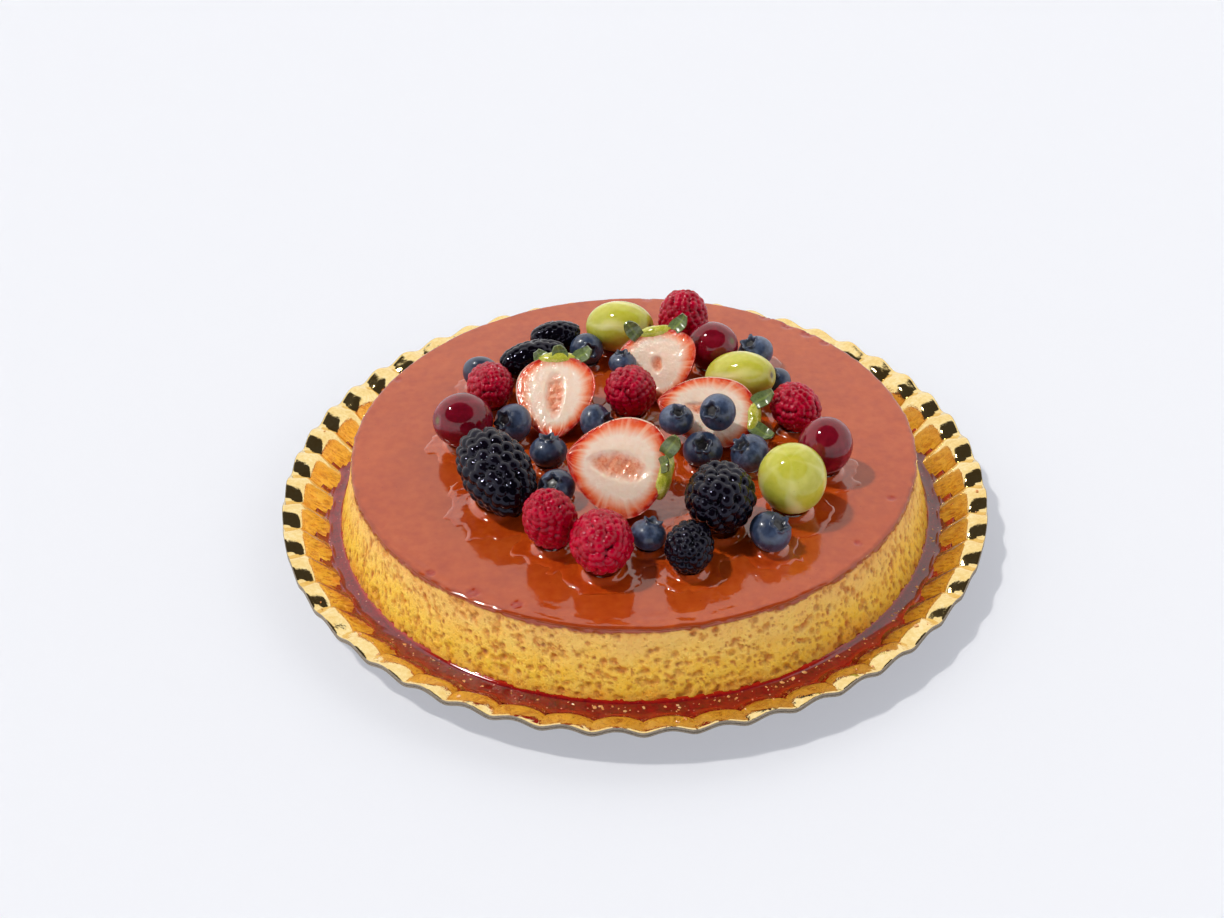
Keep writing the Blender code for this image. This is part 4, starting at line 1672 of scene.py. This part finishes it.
@dataclass
class StrawberryHalf:
    """Half a strawberry, cut face up, with its seeded skin below and calyx leaves at the stalk end."""

    node: str
    size: tuple[float, float, float]
    way: tuple[float, float, float]
    leaves: tuple[tuple[float, float, float, float], ...]
    seed: int
    core: tuple[float, float, float]
    widest: float = 0.37
    seed_rows: int = 11
    leaf_width: float = 3.0

    def half_width(self, share: Array) -> Array:
        """Half width in mm at a share of the length from the stalk.

        Args:
            share: Shares of the length, from the stalk.

        Returns:
            Half widths in mm.
        """
        before, after = part_way(share, self.widest, 0), part_way(share, self.widest, 1)
        half = self.size[1] / 2 * (1 - before**2.3) ** 0.5 * (1 - after**1.9) ** 0.72
        return np.maximum(half, 0.6)

    def wobble(self, share: Array, side: Array) -> Array:
        """How a real berry's outline wanders, as a factor on its half width."""
        return 1 + 0.03 * soft_noise(np.c_[share * 1.6, side], seed=self.seed, octaves=2)

    def add_face(self) -> bpy.types.Object:
        """The cut face: a fine sheet with a rough hollow core.

        Returns:
            The object.
        """
        clear_selection()
        bpy.ops.mesh.primitive_grid_add(x_subdivisions=72, y_subdivisions=84, size=2.0, location=(0, 0, 0))
        face = fresh("cut")
        points = points_of(face)
        across, share = points[:, 0], (1 - points[:, 1]) / 2
        half = self.half_width(share) * self.wobble(share, np.sign(across))
        wide, tall, sunk = self.core
        offset = (share - 0.48) / (tall / 2)
        core = np.clip(1.1 - (across / wide) ** 2 - np.abs(offset) ** 2.6, 0, 1)
        rough = soft_noise(np.c_[across * 6, share * 14], seed=self.seed + 3)
        edge = part_way(np.abs(across), 0.86, 1)
        rise = 0.35 * np.cos(across * math.pi / 2) - core * (sunk * 3.2 + 0.35 * rough) - 0.35 * edge**2
        rise += 0.06 * soft_noise(np.c_[across * 3, share * 6], seed=self.seed + 5)
        rise *= part_way(np.minimum(share, 1 - share), 0, 0.04) * (np.abs(across) <= 0.999)
        set_points(face, np.c_[across * half, self.size[0] * (0.5 - share), rise] * MM)
        write_masks(face, {"across": across, "along": share, "core": core})
        return face

    def seed_places(self) -> list[tuple[float, float]]:
        """Where the seeds sit on the skin, by share of the length and angle round it.

        Returns:
            Pairs of share and angle in radians.
        """
        rng = np.random.default_rng(self.seed + 9)
        seeds = []
        for row in range(self.seed_rows):
            along = (row + 0.7) / (self.seed_rows + 0.5)
            girth = float(self.half_width(np.array([along]))[0]) / (self.size[1] / 2)
            count = max(3, round(self.seed_rows * girth))
            for i in range(count):
                seeds.append((along + rng.normal(0, 0.008), math.pi * (i + 0.25 + 0.5 * (row % 2)) / count))
        return seeds

    def add_back(self) -> bpy.types.Object:
        """The seeded skin: a half tube that narrows to the tip, with a pit for each seed.

        Returns:
            The object.
        """
        clear_selection()
        bpy.ops.mesh.primitive_grid_add(x_subdivisions=96, y_subdivisions=84, size=2.0, location=(0, 0, 0))
        back = fresh("skin")
        points = points_of(back)
        turn, share = (1 - points[:, 0]) / 2 * math.pi, (1 - points[:, 1]) / 2
        side = np.cos(turn)
        side = np.where(np.abs(side) > 0.999, np.sign(side), side)
        half = self.half_width(share) * self.wobble(share, side)
        length, width, depth = self.size
        pit, seed_mask = np.zeros(len(points)), np.zeros(len(points))
        for along, around in self.seed_places():
            off = ((share - along) * length / 1.5) ** 2 + ((turn - around) * half / 1.2) ** 2
            pit = np.maximum(pit, np.clip(1 - off, 0, 1))
            seed_mask = np.maximum(seed_mask, np.clip(1 - off * 4, 0, 1))
        reach = half - (0.45 * pit - 0.35 * seed_mask) * part_way(np.sin(turn), 0, 0.1)
        down = depth * reach / (width / 2) * np.sin(turn)
        set_points(back, np.c_[reach * np.cos(turn), length * (0.5 - share), -down] * MM)
        plain = {"across": np.ones(len(points)), "core": np.zeros(len(points))}
        write_masks(back, {**plain, "along": share, "seed": seed_mask})
        return back

    def add_leaf(self, sideways: float, length: float, turn: float, rise: float) -> bpy.types.Object:
        """One wavy calyx leaf, thickened from a fine sheet.

        Args:
            sideways: How far off the middle it grows, in mm.
            length: How long it is, in mm.
            turn: How far it points to the side, in degrees.
            rise: How far it stands up, in degrees.

        Returns:
            The leaf.
        """
        clear_selection()
        bpy.ops.mesh.primitive_grid_add(x_subdivisions=8, y_subdivisions=18, size=2.0, location=(0, 0, 0))
        leaf = fresh("leaf")
        points = points_of(leaf)
        across, along = points[:, 0], (points[:, 1] + 1) / 2
        half = self.leaf_width * (0.30 + 0.70 * np.sin(math.pi * (0.12 + 0.84 * along)))
        wave = 0.08 * length * np.sin(2.2 * math.pi * along) + 0.4 * across**2
        set_points(leaf, np.c_[across * half, length * along, wave] * MM)
        write_masks(leaf, {"across": across, "along": along, "core": along})
        apply_modifier(leaf, "SOLIDIFY", thickness=0.55 * MM, offset=0.0)
        root = Vector((sideways, self.size[0] / 2 - 2.2, -1.6)) * MM
        place(leaf, Matrix.Translation(root) @ turned(-turn, "Z") @ turned(rise, "X"))
        return leaf

    def add_hull(self) -> bpy.types.Object:
        """The pale green ring where the leaves join the berry.

        Returns:
            The object.
        """
        hull = add_tube_ball("hull", 28, 14)
        points = points_of(hull)
        lumps = 1 + 0.10 * soft_noise(points * 1.6, seed=self.seed + 12)
        width = self.size[1] * 0.24
        middle = np.array([0, self.size[0] / 2 - 0.8, -1.2])
        set_points(hull, (points * lumps[:, None] * np.array([width, 2.9, 2.4]) + middle) * MM)
        write_masks(hull, {name: points[:, 0] for name in ("across", "along", "core")})
        return hull

    def build(self, looks: Sequence[bpy.types.Material]) -> bpy.types.Object:
        """Makes the half where its node lies.

        Args:
            looks: The materials of the cut face, the skin, the leaves and the hull.

        Returns:
            The half.
        """
        face, back = self.add_face(), self.add_back()
        dress(face, looks[0])
        dress(back, looks[1])
        berry = join("glazed_" + self.node, [face, back])
        close_up(berry, within=0.05 * MM)
        leaves = [self.add_leaf(*leaf) for leaf in self.leaves]
        for leaf in leaves:
            dress(leaf, looks[2])
        hull = self.add_hull()
        dress(hull, looks[3])
        whole = join("glazed_" + self.node, [berry, *leaves, hull])
        place(whole, lean(*self.way))
        fit_to_node(whole, self.node)
        smooth(whole, 50)
        settle(whole, "strawberry", self.node)
        return whole


@dataclass(frozen=True)
class CutStrawberry:
    """White flesh that reddens to its border in rays, with a rough pink core, under wet glaze."""

    flesh: tuple[tuple[float, str], ...] = (
        (0.0, "F8DCC6"), (0.46, "FAE2D0"), (0.62, "F6B496"), (0.76, "EE7448"), (0.90, "DE3E1E"),
        (0.98, "BE1A10"),
    )
    streak: str = "F9C9AC"
    fibre: str = "F4C2A8"
    pulp: tuple[tuple[float, str], ...] = ((0.3, "E07A56"), (0.6, "F0A684"))

    def make(self) -> bpy.types.Material:
        """Draws the rays round the core.

        Returns:
            The material.
        """
        made = Finish("cut strawberry", {
            "Roughness": 0.10, "IOR": 1.45, "Subsurface Weight": 0.25, "Subsurface Scale": 0.004,
            "Subsurface Radius": (1.0, 0.35, 0.2),
        })
        nodes = made.nodes
        across, along, core = (nodes.mask(name) for name in ("across", "along", "core"))
        ends = nodes.math("ABSOLUTE", nodes.math("SUBTRACT", nodes.scaled(along, 2.1), 1.0))
        sides = nodes.math("ABSOLUTE", across)
        powers = nodes.added(nodes.math("POWER", sides, 3.0), nodes.math("POWER", ends, 4.0))
        out = nodes.math("POWER", powers, 0.45)
        centred = nodes.math("SUBTRACT", along, 0.5)
        ray_angle = nodes.math("ARCTAN2", nodes.scaled(centred, 2.2), across)
        around = {"W": nodes.scaled(ray_angle, 7.0)}
        settings = {"Scale": 1.0, "Detail": 1.0}
        rays = nodes.add("TexNoise", around, settings, noise_dimensions="1D").outputs["Fac"]
        streak = nodes.scaled(nodes.between(rays, 0.54, 0.70), 0.35)
        shift = nodes.math("SUBTRACT", out, nodes.scaled(nodes.between(rays, 0.3, 0.7), 0.09))
        flesh = nodes.ramp(shift, self.flesh)
        flesh = nodes.mix(nodes.scaled(streak, nodes.between(out, 0.45, 0.7)), flesh, self.streak)
        pulp = nodes.ramp(nodes.noise(1100), self.pulp)
        mottled = nodes.scaled(nodes.between(nodes.noise(420), 0.45, 0.75), 0.35)
        flesh = nodes.mix(mottled, flesh, self.fibre)
        torn = nodes.added(core, nodes.scaled(nodes.math("SUBTRACT", nodes.noise(330), 0.5), 1.1))
        colour = nodes.mix(nodes.between(torn, 0.2, 0.9), flesh, pulp)
        relief = nodes.added(nodes.noise(240, 2), nodes.scaled(nodes.noise(1300), 0.25))
        return made.feed(base_color=colour, normal=nodes.bump(relief, 0.0006, 0.7))


@dataclass(frozen=True)
class StrawberrySkin:
    """Deep red skin with straw-coloured seeds, pale at the stalk."""

    dark: str = "A50B12"
    bright: str = "CC1A1A"
    pale: str = "E3A07A"
    seed: str = "D9A441"

    def make(self) -> bpy.types.Material:
        """Colours the skin, and picks out its seeds.

        Returns:
            The material.
        """
        made = Finish("strawberry skin", wet(0.14, 1.45, 0.5, 0.05))
        nodes = made.nodes
        red = nodes.mix(made.mottle(120, 0.4), self.dark, self.bright)
        pale = nodes.mix(nodes.between(nodes.mask("along"), 0.16, 0.02), red, self.pale)
        colour = nodes.mix(nodes.between(nodes.mask("seed"), 0.15, 0.5), pale, self.seed)
        return made.feed(base_color=colour, normal=nodes.bump(nodes.noise(500), 0.0001, 0.5))


@dataclass(frozen=True)
class CalyxLeaf:
    """Dark calyx green with a paler midrib."""

    dark: str = "4A5A34"
    bright: str = "7C8E58"
    rib: str = "8DA04C"

    def make(self) -> bpy.types.Material:
        """Mottles the leaf, and draws its rib.

        Returns:
            The material.
        """
        made = Finish("calyx leaf", wet(0.22, 1.45, 0.4, 0.05))
        nodes = made.nodes
        body = nodes.mix(made.mottle(300, 0.5), self.dark, self.bright)
        rib = nodes.between(nodes.math("ABSOLUTE", nodes.mask("across")), 0.22, 0.04)
        colour = nodes.mix(nodes.scaled(rib, 0.6), body, self.rib)
        return made.feed(base_color=colour, normal=nodes.bump(nodes.noise(900), 0.0001, 0.6))


@dataclass(frozen=True)
class StrawberryHull:
    """The yellow-green of the berry's stalk end."""

    greens: tuple[str, str, str] = ("8E9A22", "B9B838", "E0D470")

    def make(self) -> bpy.types.Material:
        """Mottles the hull.

        Returns:
            The material.
        """
        made = Finish("strawberry hull", wet(0.2, 1.45, 0.5, 0.05))
        nodes = made.nodes
        colour = nodes.shades(made.mottle(420, 0.5), *self.greens)
        return made.feed(base_color=colour, normal=nodes.bump(nodes.noise(800), 0.0002, 0.6))


@dataclass
class GlazePool:
    """The clear glaze that has run off the fruit: a ragged film that climbs a little up each piece."""

    fruit: Sequence[str]
    top: float = 28.0
    cells: int = 270
    reach: float = 84.0
    thickness: float = 0.32
    climb: float = 2.2
    margin: float = 4.5
    widest: float = 24.0
    sheet: float = 0.5

    def shape(self, points: Array) -> Array:
        """Lifts the sheet where fruit is near, and sinks it below the custard's top elsewhere.

        Args:
            points: The flat sheet's rows of x, y, z in metres.

        Returns:
            The new rows of x, y, z in metres.
        """
        flat = points / MM
        spot = flat[:, :2]
        spread = np.full(len(flat), -50.0)
        skirt = np.zeros(len(flat))
        for node in self.fruit:
            low, high = (np.array(corner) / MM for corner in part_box(node))
            if low[2] > self.top + 3:
                continue
            middle, size = (low + high) / 2, high - low
            round_it = min(size[0], size[1], self.widest) / 2
            drop = min(size[2] / 2, round_it)
            away = np.hypot(*(spot - middle[:2]).T * (2 * round_it / size[:2])[:, None])
            spread = np.maximum(spread, round_it * 0.85 - away)
            if node.startswith("strawberry"):
                continue
            touch = round_it * math.sqrt(max(0.0, 1 - (1 - self.climb / drop) ** 2))
            under = drop * (1 - np.sqrt(np.clip(1 - (away / round_it) ** 2, 0, 1)))
            falling = self.climb * np.exp((touch - away) / 0.75)
            rise = np.where(away < touch, np.minimum(under + 0.2, self.climb), falling)
            skirt = np.maximum(skirt, rise)
        ragged = 2.0 * soft_noise(spot / 9, seed=71) + 0.3 * soft_noise(spot / 3.5, seed=72, octaves=2)
        inside = np.clip((spread + self.margin + ragged) / 1.1, -1, 1)
        film = self.thickness * np.where(inside > 0, np.maximum(inside, 0) ** 0.6, inside * 3)
        film += 0.05 * soft_noise(spot / 3.5, seed=73, octaves=2) * (inside > 0)
        height = np.where(inside > 0, np.maximum(film, skirt), np.maximum(film, skirt - 0.4))
        return np.c_[spot, self.top - 0.12 + height] * MM

    def build(self, look: bpy.types.Material) -> bpy.types.Object:
        """Spreads a fine sheet, raises it where glaze lies, and cuts off what sinks below the top.

        Args:
            look: Its material.

        Returns:
            The object.
        """
        clear_selection()
        bpy.ops.mesh.primitive_grid_add(
            x_subdivisions=self.cells, y_subdivisions=self.cells, size=2 * self.reach * MM,
            location=(0, 0, 0),
        )
        film = fresh("glaze_pool")
        place(film, Matrix.Translation((0, 3 * MM, 0)))
        sculpt(film, self.shape)
        with edit_mode(film):
            mesh = bmesh.from_edit_mesh(film.data)
            bpy.ops.mesh.select_mode(type="FACE")
            bpy.ops.mesh.select_all(action="DESELECT")
            for face in mesh.faces:
                face.select_set(max(vert.co.z for vert in face.verts) < (self.top - 0.3) * MM)
            bpy.ops.mesh.delete(type="FACE")
            bpy.ops.mesh.select_all(action="SELECT")
            bpy.ops.mesh.extrude_region_move(TRANSFORM_OT_translate={"value": (0, 0, -self.sheet * MM)})
            bpy.ops.mesh.select_all(action="SELECT")
            bpy.ops.mesh.normals_make_consistent(inside=False)
        dress(film, look)
        smooth(film, 70)
        settle(film, "caramel")
        return film


@dataclass(frozen=True)
class CaramelGlaze:
    """Caramel-tinted glaze, so smooth that it mirrors the fruit."""

    browns: tuple[str, str, str] = ("A8380C", "B8450F", "C45416")
    speck: str = "7A2206"

    def make(self) -> bpy.types.Material:
        """Mottles the glaze.

        Returns:
            The material.
        """
        made = Finish("caramel glaze", wet(0.03, 1.5, 0.8, 0.02))
        nodes = made.nodes
        colour = nodes.shades(made.mottle(120, 0.4), *self.browns)
        colour = nodes.mix(nodes.scaled(made.specks(500, 0.10, 0.15), 0.6), colour, self.speck)
        return made.feed(base_color=colour, normal=nodes.bump(nodes.noise(300), 0.0002, 0.4))


@dataclass
class FruitPile:
    """Every fruit on the flan: its place is its node's, and its lean is how it was laid."""

    strawberries: dict = field(default_factory=lambda: {
        "strawberry_half_1": ((34.8, 29.7, 10.7), (30, -12, 8)),
        "strawberry_half_2": ((34.8, 35.8, 12.3), (44, -4, -101)),
        "strawberry_half_3": ((29.7, 30.7, 11.3), (42, -24, 22)),
        "strawberry_half_4": ((35.8, 28.7, 9.2), (30, 4, -105)),
    })
    leaves: dict = field(default_factory=lambda: {
        "strawberry_half_1": ((2, 7, -15, 40), (6.5, 8, 50, 10), (-4, 6, -40, 15)),
        "strawberry_half_2": ((-7, 11, -60, 50), (-3, 9, -20, 75)),
        "strawberry_half_3": ((-6, 10, -30, 55), (6.5, 9, 50, 15)),
        "strawberry_half_4": ((-5, 10, -35, 35), (3, 11, 25, 20)),
    })
    cores: dict = field(default_factory=lambda: {
        "strawberry_half_1": (0.26, 0.60, 0.30), "strawberry_half_2": (0.30, 0.62, 0.45),
        "strawberry_half_3": (0.16, 0.24, 0.40), "strawberry_half_4": (0.22, 0.50, 0.20),
    })
    grapes: dict = field(default_factory=lambda: {
        "red_grape_1": ((22.5, 20.5), (70, -60)), "red_grape_2": ((20.5, 19.4), (60, 60)),
        "red_grape_3": ((22, 19.4), (200, 20)), "green_grape_1": ((27.6, 20.5), (80, 70)),
        "green_grape_2": ((27.6, 20), (72, 65)), "green_grape_3": ((26.1, 23.5), (205, -20)),
    })
    raspberries: dict = field(default_factory=lambda: {
        "raspberry_1": ((21.5, 21.5), (18, 176)), "raspberry_2": ((19.4, 18.4), (70, 20)),
        "raspberry_3": ((20.5, 20.5), (55, -20)), "raspberry_4": ((19.4, 18.4), (95, 30)),
        "raspberry_5": ((22.5, 19.4), (25, -26)), "raspberry_6": ((22, 22.5), (70, 6)),
    })
    brambles: dict = field(default_factory=lambda: {
        "bramble_1": ((36.8, 23), (100, 28)), "bramble_2": ((27.6, 24), (66, -13)),
        "bramble_3": ((26.6, 15.4), (86, -68)), "bramble_4": ((20.5, 13.3), (86, -80)),
        "bramble_5": ((17.9, 16.4), (85, -12)),
    })
    blueberries: dict = field(default_factory=lambda: {
        "blueberry_1": (13.9, (110, 0)), "blueberry_2": (14.7, (50, -47)), "blueberry_3": (13.7, (12, 170)),
        "blueberry_4": (13.7, (35, -31)), "blueberry_5": (13.5, (72, 60)), "blueberry_6": (13.3, (66, 12)),
        "blueberry_7": (10.6, (12, 170)), "blueberry_8": (14.7, (28, -80)),
        "blueberry_9": (11.3, (34, -60)),
        "blueberry_10": (12.7, (20, 22)), "blueberry_11": (13.7, (55, -42)),
        "blueberry_12": (14.1, (33, -4)), "blueberry_13": (14.7, (38, -80)),
        "blueberry_14": (12.9, (25, 130)), "blueberry_15": (14.9, (35, 58)),
    })
    coated: tuple[str, ...] = ("bramble_3", "bramble_4")

    def build(self) -> None:
        """Makes all the fruit, kind by kind."""
        looks = [look().make() for look in (CutStrawberry, StrawberrySkin, CalyxLeaf, StrawberryHull)]
        for seed, (node, (size, way)) in enumerate(self.strawberries.items()):
            half = StrawberryHalf(node, size, way, self.leaves[node], 60 + seed * 17, self.cores[node])
            LOG.info("made %s", half.build(looks).name)
        skins = {kind: kind.value.make() for kind in (*GrapeKind, *BeadKind)}
        for seed, (node, (size, way)) in enumerate(self.grapes.items()):
            kind = GrapeKind.RED if node.startswith("red") else GrapeKind.GREEN
            LOG.info("made %s", Grape(node, kind, size, way, 200 + seed).build(skins[kind]).name)
        for kind, berries in ((BeadKind.RASPBERRY, self.raspberries), (BeadKind.BRAMBLE, self.brambles)):
            for seed, (node, (size, way)) in enumerate(berries.items()):
                rows_scale = min(1.0, 0.72 * size[0] / size[1]) if kind is BeadKind.BRAMBLE else 1.0
                relief = 0.4 if node in self.coated else 1.0
                berry = BeadBerry(node, kind, size, way, 300 + seed * 5, rows_scale, relief)
                LOG.info("made %s", berry.build(skins[kind]).name)
        skin = BlueberrySkin().make()
        for seed, (node, (width, way)) in enumerate(self.blueberries.items()):
            LOG.info("made %s", Blueberry(node, width, way, 400 + seed * 3).build(skin).name)
        everything = (*self.strawberries, *self.grapes, *self.raspberries, *self.brambles, *self.blueberries)
        LOG.info("made %s", GlazePool(everything).build(CaramelGlaze().make()).name)


def main() -> None:
    """Builds the studio and the dessert, piece by piece."""
    logging.basicConfig(level=logging.INFO, format="%(name)s: %(message)s")
    Studio().build()
    board = FoilBoard()
    LOG.info("made %s", board.build().name)
    custard = Custard()
    LOG.info("made %s", custard.build().name)
    syrup = Syrup(board, custard)
    LOG.info("made %s", syrup.build().name)
    LOG.info("made %s", Crumbs(board, syrup).build().name)
    FruitPile().build()
    clear_selection()


if __name__ == "__main__":
    main()
